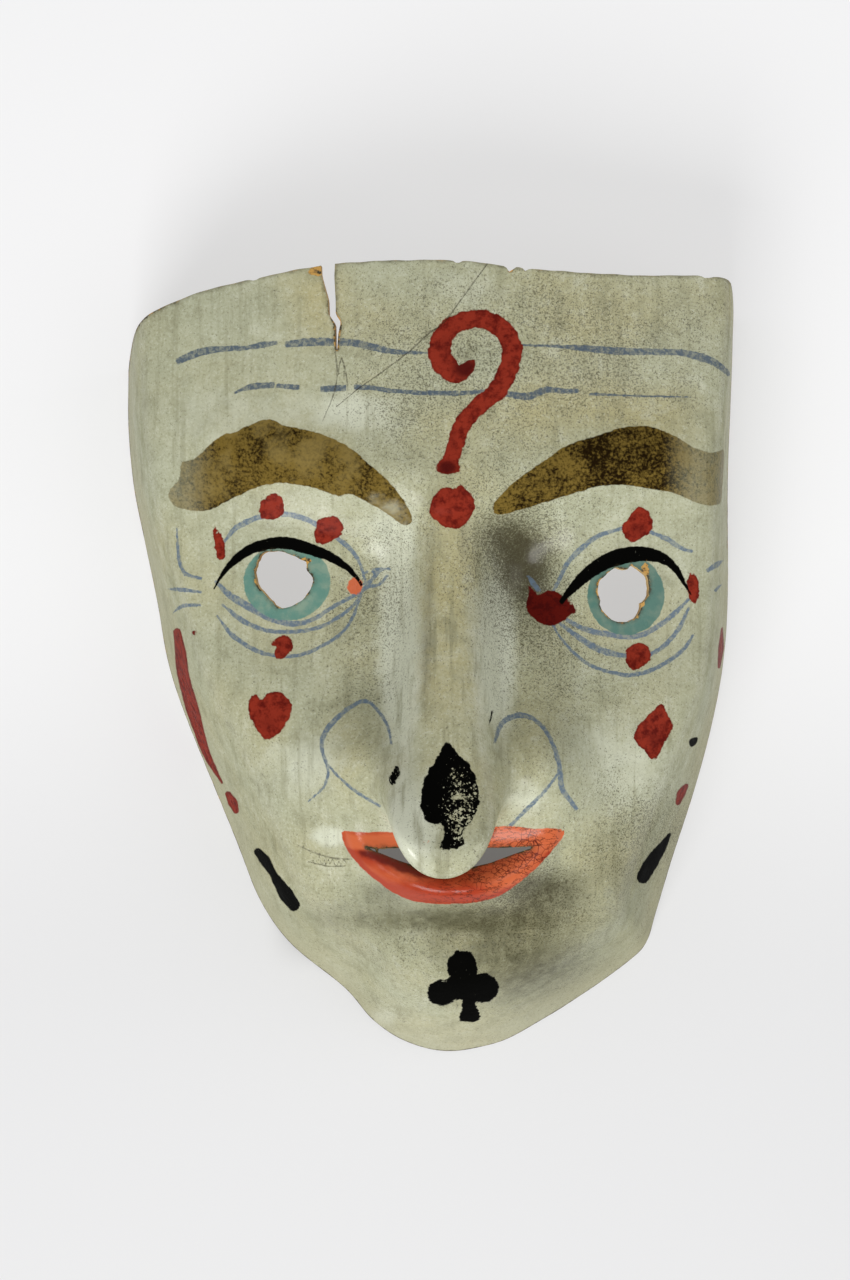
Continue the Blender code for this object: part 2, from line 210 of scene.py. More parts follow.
@dataclass
class MaskForm:
    """The mask's form as a height over its plan, with sizes in metres.

    Plan places and carving are shares of the width and the length.
    """

    width: float = 0.160
    length: float = 0.204
    shell: float = 0.0016
    face_height: float = 0.060
    side_fall: float = 0.016
    forehead_fall: float = 0.004
    chin_fall: float = 0.008
    nose_rise: float = 0.034
    nose_lean: float = 0.0182
    lip_rise: float = 0.0075
    lip_half_thickness: float = 0.0034
    eye_hole: float = 0.0138
    slot_length: float = 0.042
    slot_height: float = 0.0052
    crack_length: float = 0.0215
    crack_gap: float = 0.0030
    trim_depth: float = 0.0025
    wear: float = 0.00005
    fall_start: float = 0.2
    fall_span: float = 0.3
    nose_low_share: float = 0.06
    nose_round_limit: float = 1.2
    lip_taper: float = 0.7
    open_start: float = 0.55
    open_span: float = 0.35
    turn_before: float = 0.6
    turn_after: float = 1.2
    cells: int = 212
    front_rings: float = 0.66
    edge_rings: float = 0.82
    midline: float = 0.034
    centre: Place = (0.034, -0.025)
    side_rim: tuple[Place, ...] = (
        (-0.500, 0.378), (-0.500, 0.308), (-0.491, 0.235), (-0.473, 0.166),
        (-0.453, 0.088), (-0.435, 0.010), (-0.402, -0.068), (-0.321, -0.224),
        (-0.281, -0.302), (-0.228, -0.360), (-0.141, -0.416), (-0.096, -0.457),
        (-0.041, -0.487), (0.025, -0.500), (0.099, -0.491), (0.158, -0.471),
        (0.262, -0.419), (0.331, -0.379), (0.358, -0.355), (0.374, -0.315),
        (0.399, -0.250), (0.441, -0.146), (0.467, -0.068), (0.485, 0.010),
        (0.492, 0.088), (0.492, 0.243), (0.497, 0.347), (0.500, 0.425),
    )
    forehead_edge: tuple[Place, ...] = (
        (0.497, 0.465), (0.472, 0.482), (0.422, 0.486), (0.332, 0.484), (0.233, 0.486),
        (0.139, 0.491), (0.046, 0.499), (-0.047, 0.500), (-0.140, 0.497),
        (-0.209, 0.490), (-0.283, 0.479), (-0.345, 0.469), (-0.400, 0.455),
        (-0.450, 0.437), (-0.483, 0.411),
    )
    hidden_crown: tuple[Place, ...] = (
        (0.500, 0.500), (0.480, 0.620), (0.330, 0.740), (0.034, 0.800),
        (-0.270, 0.740), (-0.450, 0.620), (-0.495, 0.480),
    )
    wall_by_direction: tuple[tuple[float, float, float], ...] = (
        (-180, 77, 0.013), (-150, 76, 0.012), (-125, 74, 0.011), (-105, 69, 0.018),
        (-90, 67, 0.022), (-75, 69, 0.020), (-52, 74, 0.016), (-30, 77, 0.014),
        (0, 81, 0.013), (90, 81, 0.013), (180, 77, 0.013),
    )
    lobes: dict[str, tuple[Place, Place, float, float]] = field(
        default_factory=lambda: {
            "forehead": ((0.035, 0.300), (0.240, 0.130), 0.0020, 0),
            "brow_left": ((-0.200, 0.262), (0.140, 0.036), 0.0036, -10),
            "brow_right": ((0.285, 0.252), (0.140, 0.036), 0.0036, 8),
            "brow_left_inner": ((-0.060, 0.215), (0.045, 0.030), 0.0026, -25),
            "brow_right_inner": ((0.130, 0.205), (0.045, 0.030), 0.0026, 25),
            "socket_left": ((-0.215, 0.115), (0.135, 0.062), -0.0060, 0),
            "socket_right": ((0.285, 0.102), (0.135, 0.062), -0.0060, 0),
            "eyeball_left": ((-0.225, 0.113), (0.080, 0.036), 0.0034, 0),
            "eyeball_right": ((0.293, 0.098), (0.080, 0.036), 0.0034, 0),
            "tear_pit_left": ((-0.075, 0.125), (0.045, 0.050), -0.0050, 0),
            "tear_pit_right": ((0.142, 0.125), (0.045, 0.055), -0.0070, 0),
            "cheek_left": ((-0.225, -0.075), (0.105, 0.072), 0.0042, 0),
            "cheek_right": ((0.300, -0.086), (0.105, 0.072), 0.0042, 0),
            "fold_left": ((-0.190, -0.125), (0.030, 0.050), 0.0022, 24),
            "fold_right": ((0.245, -0.130), (0.030, 0.050), 0.0022, -24),
            "muzzle": ((0.034, -0.218), (0.160, 0.075), 0.0050, 0),
            "under_lip_hollow": ((0.034, -0.322), (0.120, 0.024), -0.0055, 0),
            "chin": ((0.038, -0.385), (0.105, 0.055), 0.0060, 0),
            "jaw_hollow_left": ((-0.150, -0.300), (0.060, 0.060), -0.0022, 30),
            "jaw_hollow_right": ((0.215, -0.310), (0.060, 0.060), -0.0022, -30),
            "wing_left": ((-0.098, -0.112), (0.054, 0.046), 0.0135, -12),
            "wing_right": ((0.156, -0.114), (0.054, 0.046), 0.0135, 12),
        }
    )
    notches: tuple[tuple[float, float, float], ...] = (
        (1.436, 0.008, 0.0014), (1.400, 0.006, 0.0007), (1.020, 0.010, 0.0008),
        (1.560, 0.007, 0.0006), (2.020, 0.008, 0.0005),
    )
    nose_root: Place = (0.034, 0.190)
    nose_tip: Place = (0.018, -0.116)
    nose_half_widths: Place = (0.043, 0.086)
    nose_softness: Place = (0.42, 0.20)
    nose_rounding: float = 0.20
    lip_crest: float = -0.264
    lip_corner_lift: float = 0.058
    lip_half_span: float = 0.165
    eye_holes: dict[str, tuple[Place, tuple[Place, ...]]] = field(
        default_factory=lambda: {
            "left": ((-0.2285, 0.1120), (
                (-0.33, 0.49), (0.00, 0.49), (0.14, 0.42), (0.38, 0.33), (0.42, 0.17),
                (0.52, 0.03), (0.50, -0.16), (0.33, -0.37), (0.10, -0.49), (-0.13, -0.50),
                (-0.32, -0.30), (-0.47, -0.13), (-0.53, 0.12), (-0.47, 0.36),
            )),
            "right": ((0.2990, 0.0960), (
                (-0.13, 0.44), (0.05, 0.40), (0.16, 0.50), (0.32, 0.38), (0.46, 0.24),
                (0.46, -0.08), (0.33, -0.22), (0.30, -0.38), (0.12, -0.52), (-0.12, -0.52),
                (-0.36, -0.34), (-0.44, -0.10), (-0.46, 0.13), (-0.30, 0.33),
            )),
        }
    )
    slot_middle: Place = (0.032, -0.2130)
    slot_shape: tuple[Place, ...] = (
        (-0.50, 0.06), (-0.30, 0.00), (0.00, 0.00), (0.30, 0.00), (0.50, 0.10),
        (0.38, -0.18), (0.22, -0.66), (0.10, -0.94), (-0.05, -1.00), (-0.20, -0.86),
        (-0.31, -0.54), (-0.42, -0.20),
    )
    crack_top: Place = (-0.1490, 0.4960)
    crack_left_side: tuple[Place, ...] = (
        (-0.30, -1.30), (0.13, -1.11), (0.25, -0.85), (0.42, -0.53), (0.60, -0.45),
        (0.70, 0.02), (1.00, 0.12),
    )
    crack_right_side: tuple[Place, ...] = (
        (1.00, 0.26), (0.80, 0.36), (0.68, 0.45), (0.60, 0.11), (0.42, 0.05),
        (0.16, -0.04), (-0.30, 0.10),
    )

    def __post_init__(self) -> None:
        """Works out the outlines' reach by direction once."""
        self.rim_reach = self.reach_function(self.side_rim + self.forehead_edge)
        self.wall_reach = self.reach_function(self.side_rim + self.hidden_crown)

    @property
    def size(self) -> np.ndarray:
        """Width and length."""
        return np.array((self.width, self.length))

    def polar(self, x: np.ndarray, y: np.ndarray) -> tuple[np.ndarray, np.ndarray]:
        """Direction and distance of plan places from the polar centre."""
        dx, dy = x - self.centre[0] * self.width, y - self.centre[1] * self.length
        return np.arctan2(dy, dx), np.hypot(dx, dy)

    def reach_function(self, points: Sequence[Place]) -> Callable[[np.ndarray], np.ndarray]:
        """A function that gives an outline's distance from the centre by direction.

        Args:
            points: the outline's places, as shares of the width and the length.

        Returns:
            A function from directions in radians to distances in metres.
        """
        curve = smooth_outline(points) * self.size
        direction, reach = self.polar(curve[:, 0], curve[:, 1])
        order = np.argsort(direction)
        return lambda angle: np.interp(
            angle, direction[order], reach[order], period=2 * math.pi
        )

    def by_direction(self, angle: np.ndarray, column: int) -> np.ndarray:
        """A value of wall_by_direction, read between the directions that it gives."""
        rows = np.array(self.wall_by_direction, float)
        return np.interp(np.degrees(angle), rows[:, 0], rows[:, column])

    def lobe(
        self, x: np.ndarray, y: np.ndarray, centre: Place, reach: Place, rise: float, turn: float
    ) -> np.ndarray:
        """Height of a smooth swelling, or of a hollow where rise is negative.

        Args:
            x: the places' x in metres.
            y: the places' y in metres.
            centre: the swelling's middle, as shares of the width and the length.
            reach: its reach across and along, as shares of the two.
            rise: its height in the middle in metres.
            turn: how far it is turned, in degrees.

        Returns:
            The swelling's height at each place.
        """
        dx, dy = x - centre[0] * self.width, y - centre[1] * self.length
        c, s = math.cos(math.radians(turn)), math.sin(math.radians(turn))
        across = (dx * c + dy * s) / (reach[0] * self.width)
        along = (dy * c - dx * s) / (reach[1] * self.length)
        return rise * np.exp(-0.5 * (across**2 + along**2))

    def nose(self, x: np.ndarray, y: np.ndarray) -> np.ndarray:
        """How far up the nose each place is: 0 on the face, 1 on top of its tip.

        Args:
            x: the places' x in metres.
            y: the places' y in metres.

        Returns:
            A share for each place.
        """
        root, tip = np.array(self.nose_root) * self.size, np.array(self.nose_tip) * self.size
        run = tip - root
        t = ((x - root[0]) * run[0] + (y - root[1]) * run[1]) / (run @ run)
        t_on = np.clip(t, 0, 1)
        away = np.hypot(x - root[0] - t_on * run[0], y - root[1] - t_on * run[1])
        half_width = np.interp(t_on, (0, 1), self.nose_half_widths) * self.width
        softness = np.interp(t_on, (0, 1), self.nose_softness)
        side = away / half_width
        flank = 0.5 * (1 - np.tanh((side - 1) / softness))
        rounded = 1 - self.nose_rounding * np.clip(side, 0, self.nose_round_limit) ** 2
        share = self.nose_low_share + (1 - self.nose_low_share) * t_on
        return share * flank * rounded

    def lip_roll(self, x: np.ndarray, y: np.ndarray) -> np.ndarray:
        """Height of the lower lip's roll, which dies away at the mouth's corners.

        Args:
            x: the places' x in metres.
            y: the places' y in metres.

        Returns:
            The roll's height at each place.
        """
        span = (x - self.midline * self.width) / (self.lip_half_span * self.width)
        crest = (self.lip_crest + self.lip_corner_lift * span**2) * self.length
        slope = 2 * self.lip_corner_lift * self.length * span
        slope = slope / (self.lip_half_span * self.width)
        off = (y - crest) / np.hypot(1, slope) / self.lip_half_thickness
        taper = np.clip(1 - span**2, 0, 1) ** self.lip_taper
        return self.lip_rise * taper * np.exp(-0.5 * off**2)

    def face(self, x: np.ndarray, y: np.ndarray) -> np.ndarray:
        """Height of the face before the side walls turn down.

        Args:
            x: the places' x in metres.
            y: the places' y in metres.

        Returns:
            The height at each place in metres.
        """
        across = (x / self.width - self.midline) / 0.5
        v = y / self.length
        height = self.face_height - self.side_fall * across**2
        up = np.clip((v - self.fall_start) / self.fall_span, 0, None)
        down = np.clip((-self.fall_start - v) / self.fall_span, 0, None)
        height = height - self.forehead_fall * up**2 - self.chin_fall * down**2
        for shape in self.lobes.values():
            height = height + self.lobe(x, y, *shape)
        return height + self.lip_roll(x, y)

    def surface(self, x: np.ndarray, y: np.ndarray) -> np.ndarray:
        """The outside of the mask over plan places, as an array of points.

        Args:
            x: the places' x in metres.
            y: the places' y in metres.

        Returns:
            The points, one row each.
        """
        angle, distance = self.polar(x, y)
        slope = np.tan(np.radians(self.by_direction(angle, 1)))
        wall = (self.wall_reach(angle) - distance) * slope
        rounding = self.by_direction(angle, 2)
        front = self.face(x, y)
        height = 0.5 * (front + wall - np.sqrt((front - wall) ** 2 + rounding**2))
        up = self.nose(x, y)
        return np.stack(
            [x, y - self.nose_lean * up, height + self.nose_rise * up], axis=1
        )

    def nicks(self, angle: np.ndarray) -> np.ndarray:
        """How far wear and small notches have eaten into the forehead edge.

        Args:
            angle: directions from the polar centre in radians.

        Returns:
            The depth eaten away in each direction, in metres.
        """
        worn = self.wear * (2 + np.sin(61 * angle) + np.sin(113 * angle + 1))
        for place, width, depth in self.notches:
            worn = worn + depth * np.exp(-(((angle - place) / width) ** 2))
        return worn

    def plan_place(self, a: np.ndarray, b: np.ndarray) -> tuple[np.ndarray, np.ndarray]:
        """Where a grid corner in a square of -1 to 1 lies on the mask's plan.

        Rings of the square become rings of the rim's own outline, which lie closest
        together where the face turns over into the side walls.

        Args:
            a: the corner's place across the square.
            b: the corner's place along the square.

        Returns:
            The plan's x and y in metres.
        """
        ring = np.maximum(np.abs(a), np.abs(b))
        safe_a, safe_b = np.where(a == 0, 1e-9, a), np.where(b == 0, 1e-9, b)
        turn_a = math.pi / 4 * b / safe_a + np.where(a < 0, math.pi, 0)
        turn_b = math.pi / 2 - math.pi / 4 * a / safe_b + np.where(b < 0, math.pi, 0)
        angle = np.where(np.abs(a) >= np.abs(b), turn_a, turn_b)
        angle = (angle + math.pi) % (2 * math.pi) - math.pi
        open_top = np.clip((np.sin(angle) - self.open_start) / self.open_span, 0, 1)
        steep = np.tan(np.radians(self.by_direction(angle, 1)))
        reach = self.rim_reach(angle) + self.trim_depth / steep * (1 - open_top)
        reach = reach - open_top * self.nicks(angle)
        rounding = self.by_direction(angle, 2)
        turn_starts = 1 - (self.face_height + self.turn_before * rounding) / steep / reach
        turn_ends = 1 - (self.face_height - self.turn_after * rounding) / steep / reach
        on_front = ring / self.front_rings
        on_turn = (ring - self.front_rings) / (self.edge_rings - self.front_rings)
        on_wall = (ring - self.edge_rings) / (1 - self.edge_rings)
        walled = turn_starts * np.clip(on_front, 0, 1)
        walled = walled + (turn_ends - turn_starts) * np.clip(on_turn, 0, 1)
        walled = walled + (1 - turn_ends) * np.clip(on_wall, 0, 1)
        share = walled + (ring - walled) * open_top
        middle = np.array(self.centre) * self.size
        return (
            middle[0] + share * reach * np.cos(angle),
            middle[1] + share * reach * np.sin(angle),
        )

    def hole_outlines(self) -> dict[str, np.ndarray]:
        """Plan outlines of the eye holes, the mouth slot and the crack.

        Returns:
            Each opening's outline in metres, by name.
        """
        outlines = {}
        for side, (centre, shares) in self.eye_holes.items():
            outlines["eye_" + side] = (
                np.array(centre) * self.size + smooth_outline(shares, 4) * self.eye_hole
            )
        slot = np.array(self.slot_shape) * (self.slot_length, self.slot_height)
        outlines["mouth"] = np.array(self.slot_middle) * self.size + slot
        top = np.array(self.crack_top) * self.size
        sides = np.array(self.crack_left_side + self.crack_right_side)
        outlines["crack"] = np.stack(
            [top[0] + sides[:, 1] * self.crack_gap, top[1] - sides[:, 0] * self.crack_length],
            axis=1,
        )
        return outlines


@dataclass(frozen=True)
class Stroke:
    """A brush line: its places on the painting sheet and half its width at each."""

    points: tuple[Place, ...]
    halves: tuple[float, ...]


@dataclass(frozen=True)
class Patch:
    """A filled area: its outline on the painting sheet."""

    outline: tuple[Place, ...]
    steps: int = 4


@dataclass(frozen=True)
class Disc:
    """A filled oval: its middle and its two half widths on the painting sheet."""

    middle: Place
    halves: Place


@dataclass(frozen=True)
class Cloud:
    """A soft oval of tone: its middle, its reach across and along, and its amount."""

    middle: Place
    reach: Place
    amount: float


@dataclass
class PaintSheet:
    """The flat sheet that the painting is laid out on.

    Places run to the right and downwards in units, and the sheet lies on the rim's
    plane. It is carried onto the shell from an eye straight above it. The fields of
    fills and lines are worked out as far from them as their search reaches.
    """

    unit: float = 0.0002645
    middle: Place = (425.0, 640.0)
    eye: tuple[float, float, float] = (-0.0015, 0.0072, 0.900)
    search: float = 60.0
    line_search: float = 25.0

    def carried(self, points: np.ndarray) -> np.ndarray:
        """Sheet places of points on the shell.

        Args:
            points: the shell's points, one row each.

        Returns:
            Their places on the sheet, one row each.
        """
        spread = self.eye[2] / (self.eye[2] - points[:, 2])
        across = (points[:, 0] - self.eye[0]) * spread / self.unit
        down = (self.eye[1] - points[:, 1]) * spread / self.unit
        return np.stack([self.middle[0] + across, self.middle[1] + down], axis=1)

    def fill_depth(
        self, places: np.ndarray, shapes: Sequence[Patch | Disc | Stroke]
    ) -> np.ndarray:
        """How deep places lie inside the nearest of some filled shapes, in units.

        Args:
            places: sheet places, one row each.
            shapes: patches, discs and broad strokes of one paint.

        Returns:
            The depth, negative outside every shape.
        """
        depth = np.full(len(places), -self.search)
        for shape in shapes:
            if isinstance(shape, Disc):
                off = (places - shape.middle) / shape.halves
                new = (1 - np.hypot(off[:, 0], off[:, 1])) * min(shape.halves)
                depth = np.maximum(depth, new)
                continue
            if isinstance(shape, Patch):
                line = smooth_outline(shape.outline, shape.steps)
                reach = 0.0
            else:
                line = smooth_path(shape.points)
                reach = max(shape.halves)
            low = line.min(axis=0) - self.search - reach
            high = line.max(axis=0) + self.search + reach
            near = ((places > low) & (places < high)).all(axis=1)
            if not near.any():
                continue
            distance, _, along, _ = nearest_on_path(
                places[near], line, isinstance(shape, Patch)
            )
            if isinstance(shape, Patch):
                new = np.where(inside_outline(places[near], line), distance, -distance)
            else:
                marks = np.linspace(0, 1, len(shape.halves))
                new = np.interp(along, marks, shape.halves) - distance
            depth[near] = np.maximum(depth[near], new)
        return depth

    def line_fields(
        self, places: np.ndarray, strokes: Sequence[Stroke]
    ) -> tuple[np.ndarray, np.ndarray, np.ndarray]:
        """Fields that draw thin brush lines sharply between the mesh's corners.

        Args:
            places: sheet places, one row each.
            strokes: the lines of one paint.

        Returns:
            For the nearest line, the offset to its side, the distance to it and half
            its width there, all in units.
        """
        side = np.full(len(places), self.search)
        near = np.full(len(places), self.search)
        wide = np.zeros(len(places))
        for stroke in strokes:
            line = smooth_path(stroke.points)
            low = line.min(axis=0) - self.line_search
            high = line.max(axis=0) + self.line_search
            close = ((places > low) & (places < high)).all(axis=1)
            if not close.any():
                continue
            distance, offset, along, _ = nearest_on_path(places[close], line, False)
            marks = np.linspace(0, 1, len(stroke.halves))
            half = np.interp(along, marks, stroke.halves)
            gain = distance - half < near[close] - wide[close]
            side[close] = np.where(gain, offset, side[close])
            wide[close] = np.where(gain, half, wide[close])
            near[close] = np.where(gain, distance, near[close])
        return side, near, wide

    def cloud_tone(self, places: np.ndarray, clouds: Sequence[Cloud]) -> np.ndarray:
        """Sum of soft ovals of tone at sheet places.

        Args:
            places: sheet places, one row each.
            clouds: the soft ovals of one tone.

        Returns:
            The tone at each place.
        """
        tone = np.zeros(len(places))
        for cloud in clouds:
            off = (places - cloud.middle) / cloud.reach
            tone += cloud.amount * np.exp(-0.5 * (off**2).sum(axis=1))
        return tone


@dataclass
class Painting:
    """The painted picture: every shape on the sheet, by paint.

    Brows and lines thin out below side_end, by their taper for each millimetre.
    """

    sheet: PaintSheet = field(default_factory=PaintSheet)
    side_end: float = 0.038
    brow_taper: float = 0.7
    line_taper: float = 0.12
    wall_start: float = 0.030
    wall_fade: float = 0.025
    wall_share: float = 0.6
    red: tuple[Patch | Disc | Stroke, ...] = (
        # Question mark
        Stroke(
            ((471, 364), (458, 374), (442, 361), (441, 342), (454, 325), (480, 319),
             (502, 329), (512, 348), (508, 370), (498, 390), (480, 405), (463, 424),
             (455, 446), (450, 462)),
            (5, 11, 12, 10, 9, 9, 10, 10, 9.5, 9.5, 9, 8.5, 9, 7.5),
        ),
        Disc((448, 467), (13, 7.5)),
        Patch(((444, 487), (456, 488), (461, 484), (466, 490), (473, 498), (474, 511),
               (467, 521), (460, 528), (448, 528), (437, 522), (430, 515), (431, 503),
               (436, 494))),
        # Marks round the left eye
        Patch(((272, 493), (281, 496), (285, 505), (282, 515), (272, 521), (262, 518),
               (259, 508), (263, 499))),
        Patch(((318, 520), (328, 516), (338, 518), (343, 527), (339, 537), (328, 543),
               (319, 545), (314, 538), (316, 528))),
        Patch(((214, 527), (221, 535), (225, 548), (225, 557), (220, 562), (216, 552),
               (214, 538))),
        Patch(((274, 640), (282, 636), (290, 638), (293, 648), (286, 656), (278, 660),
               (273, 655), (276, 648), (271, 644))),
        # Heart and strokes on the left cheek
        Patch(((262, 700), (256, 695), (249, 700), (248, 711), (252, 722), (258, 732),
               (265, 740), (275, 736), (285, 726), (292, 712), (288, 698), (278, 692),
               (268, 693))),
        Stroke(((177, 632), (180, 649), (183, 674), (191, 704), (199, 731), (207, 755),
                (222, 783)), (4, 6, 6, 6.5, 5, 3.5, 1)),
        Stroke(((228, 794), (233, 803), (236, 811)), (3, 5, 3)),
        Disc((194, 633), (2.5, 2.5)),
        # Marks round the right eye
        Patch(((637, 507), (646, 510), (653, 521), (650, 532), (641, 538), (634, 543),
               (626, 538), (622, 527), (628, 518))),
        Patch(((690, 571), (697, 578), (699, 592), (696, 605), (690, 600), (687, 586))),
        Patch(((630, 646), (640, 642), (649, 648), (650, 660), (641, 667), (634, 671),
               (627, 664), (626, 654))),
        # Diamond and strokes on the right cheek
        Patch(((661, 705), (668, 713), (672, 728), (665, 742), (655, 760), (645, 752),
               (634, 738), (640, 724), (650, 713)), 3),
        Stroke(((722, 628), (721, 648), (719, 667)), (1, 3, 1.5)),
        Stroke(((686, 786), (681, 794), (678, 803)), (2.5, 4.5, 2.5)),
    )
    dark_red: tuple[Patch | Disc | Stroke, ...] = (
        Patch(((527, 602), (529, 593), (537, 595), (546, 591), (557, 592), (565, 599),
               (570, 607), (570, 614), (564, 621), (553, 625), (541, 624), (532, 616),
               (526, 609))),
        Stroke(((566, 610), (575, 611), (583, 612)), (4, 1.6, 0.6)),
        Stroke(((528, 587), (533, 593), (538, 599)), (1.6, 3.0, 3.0)),
        Stroke(((566, 600), (570, 603), (573, 606)), (3, 2, 1)),
    )
    black: tuple[Patch | Disc | Stroke, ...] = (
        # Spade
        Patch(((448, 741), (455, 750), (463, 758), (471, 767), (476, 778), (479, 790),
               (479, 802), (476, 814), (469, 824), (464, 829), (458, 827), (459, 833),
               (466, 841), (461, 847), (452, 849), (440, 850), (439, 846), (444, 838),
               (444, 829), (442, 823), (436, 824), (429, 823), (423, 815), (420, 801),
               (423, 785), (430, 768), (440, 752)), 2),
        # Club
        Disc((462, 967), (15, 17)),
        Disc((442, 993), (15, 13)),
        Disc((482, 988), (17, 15)),
        Disc((463, 985), (17, 15)),
        Patch(((462, 994), (472, 996), (477, 1008), (481, 1018), (472, 1022),
               (459, 1020), (462, 1008)), 3),
        # Two lost chips of paint
        Stroke(((397, 768), (395, 775), (392, 782)), (2.5, 4.5, 3.5)),
        Patch(((689, 740), (697, 737), (697, 743), (691, 747)), 3),
        # Strokes on the jaw
        Stroke(((258, 852), (263, 858), (269, 867), (278, 882), (286, 894), (294, 905)),
               (4, 5.5, 3.5, 5.5, 7.5, 6)),
        Stroke(((670, 834), (662, 847), (653, 860), (643, 877)), (1.5, 5, 7, 6.5)),
    )
    black_lines: tuple[Stroke, ...] = (
        Stroke(
            ((215, 587), (220, 578), (232, 563), (249, 550), (269, 544), (287, 543),
             (306, 548), (326, 555), (345, 566), (356, 577), (361, 584)),
            (0.7, 2.4, 4.2, 5.2, 5.8, 6.2, 6.2, 5.4, 4.4, 2.8, 1.4),
        ),
        Stroke(
            ((563, 600), (571, 590), (584, 577), (600, 565), (619, 557), (643, 554),
             (662, 558), (675, 568), (684, 583), (690, 593)),
            (2.5, 5.0, 6.4, 7.4, 8.4, 7.8, 6.4, 4.2, 2.4, 0.8),
        ),
        Stroke(((457, 1007), (454, 1015), (455, 1023)), (0.7, 0.8, 0.6)),
        Stroke(((467, 1010), (465, 1018), (466, 1024)), (0.8, 0.8, 0.6)),
        Stroke(((492, 711), (491, 717), (490, 722)), (0.8, 1.2, 0.6)),
    )
    blue_lines: tuple[Stroke, ...] = (
        # Brow furrows
        Stroke(((181, 360), (200, 352), (222, 349), (245, 348)), (3.5, 4, 3, 2.4)),
        Stroke(((250, 347), (262, 345), (274, 343)), (2.2, 3.4, 2.0)),
        Stroke(((290, 344), (312, 342), (335, 342)), (3.4, 4.2, 3.6)),
        Stroke(((339, 342), (355, 343), (385, 350), (400, 352), (430, 353)),
               (3.4, 3.8, 3.2, 2.0, 1.0)),
        Stroke(((521, 345), (550, 346), (580, 348), (617, 351), (654, 352), (671, 352)),
               (0.9, 1.2, 3.0, 3.8, 3.4, 3.0)),
        Stroke(((676, 352), (688, 354), (712, 361), (728, 373)), (3.0, 4.0, 3.8, 2.4)),
        Stroke(((237, 392), (250, 387), (270, 385)), (1.2, 3.4, 3.0)),
        Stroke(((281, 386), (295, 387)), (2.2, 2.8)),
        Stroke(((325, 389), (342, 388)), (3.2, 3.0)),
        Stroke(((358, 387), (374, 388), (390, 391)), (2.6, 2.4, 2.2)),
        Stroke(((397, 391), (425, 393), (455, 393)), (2.2, 2.4, 2.6)),
        Stroke(((464, 393), (487, 391)), (2.2, 1.6)),
        Stroke(((508, 394), (520, 396), (530, 396), (545, 390), (557, 390)),
               (3.0, 3.6, 3.6, 3.4, 2.6)),
        Stroke(((562, 391), (575, 391)), (2.6, 2.2)),
        Stroke(((592, 394), (640, 396), (690, 397)), (1.4, 1.0, 0.6)),
        # Left eye: crease, under lines and side lines
        Stroke(((225, 541), (237, 527), (260, 517), (283, 514), (308, 520), (337, 538),
                (352, 551), (361, 566), (366, 584)),
               (1.4, 3.0, 2.6, 2.6, 2.8, 2.6, 2.4, 1.8, 1.2)),
        Stroke(((217, 583), (232, 597), (257, 611), (273, 619), (294, 624), (314, 619),
                (334, 606), (355, 595), (366, 587), (379, 571)),
               (1.6, 3.6, 4.0, 3.6, 3.0, 2.2, 2.0, 2.0, 1.8, 1.8)),
        Stroke(((218, 617), (232, 635), (253, 649), (271, 655), (294, 656), (314, 650),
                (337, 637), (351, 621), (360, 598)),
               (0.8, 2.4, 2.2, 1.8, 1.8, 1.8, 1.8, 1.6, 1.2)),
        Stroke(((374, 570), (380, 569), (388, 569)), (1.2, 1.6, 1.0)),
        Stroke(((177, 530), (178, 550), (180, 564), (186, 574), (199, 578)),
               (0.8, 1.4, 1.8, 1.8, 1.4)),
        Stroke(((169, 589), (184, 590), (199, 592)), (1.4, 2.2, 1.4)),
        Stroke(((167, 625), (173, 613), (183, 606), (198, 605)), (0.8, 1.6, 2.0, 1.4)),
        # Right eye: crease, under lines and side lines
        Stroke(((553, 592), (560, 578), (568, 562), (582, 548), (598, 536), (620, 529)),
               (1.2, 2.0, 2.6, 2.6, 2.2, 1.8)),
        Stroke(((650, 532), (667, 539), (681, 548), (690, 551)), (1.6, 2.6, 2.4, 1.4)),
        Stroke(((569, 621), (587, 630), (608, 634), (626, 637), (644, 634), (660, 625),
                (674, 614), (687, 601)),
               (1.8, 2.6, 3.0, 2.8, 2.6, 2.4, 2.4, 1.6)),
        Stroke(((554, 626), (560, 637), (574, 653), (592, 666), (614, 673), (631, 675),
                (649, 671), (667, 662), (683, 650), (692, 637)),
               (1.0, 1.4, 1.6, 1.6, 2.0, 2.2, 2.2, 2.2, 2.0, 1.2)),
        Stroke(((710, 569), (718, 564), (724, 560)), (2.2, 2.8, 2.0)),
        Stroke(((717, 589), (720, 586), (722, 584)), (1.4, 2.0, 1.4)),
        Stroke(((529, 577), (533, 583), (538, 589)), (1.2, 3.0, 2.2)),
        # Nose wings
        Stroke(((391, 742), (388, 727), (379, 712), (366, 701), (351, 707), (333, 722),
                (323, 737), (322, 750), (327, 765), (328, 775), (323, 788), (310, 800)),
               (1.2, 1.6, 1.8, 1.8, 2.0, 2.4, 2.8, 2.2, 1.6, 1.6, 1.2, 0.8)),
        Stroke(((495, 741), (501, 724), (514, 716), (530, 717), (545, 730), (555, 750),
                (560, 770), (562, 788), (575, 807)),
               (1.4, 2.6, 3.0, 2.0, 2.0, 2.2, 2.6, 3.0, 2.0)),
    )
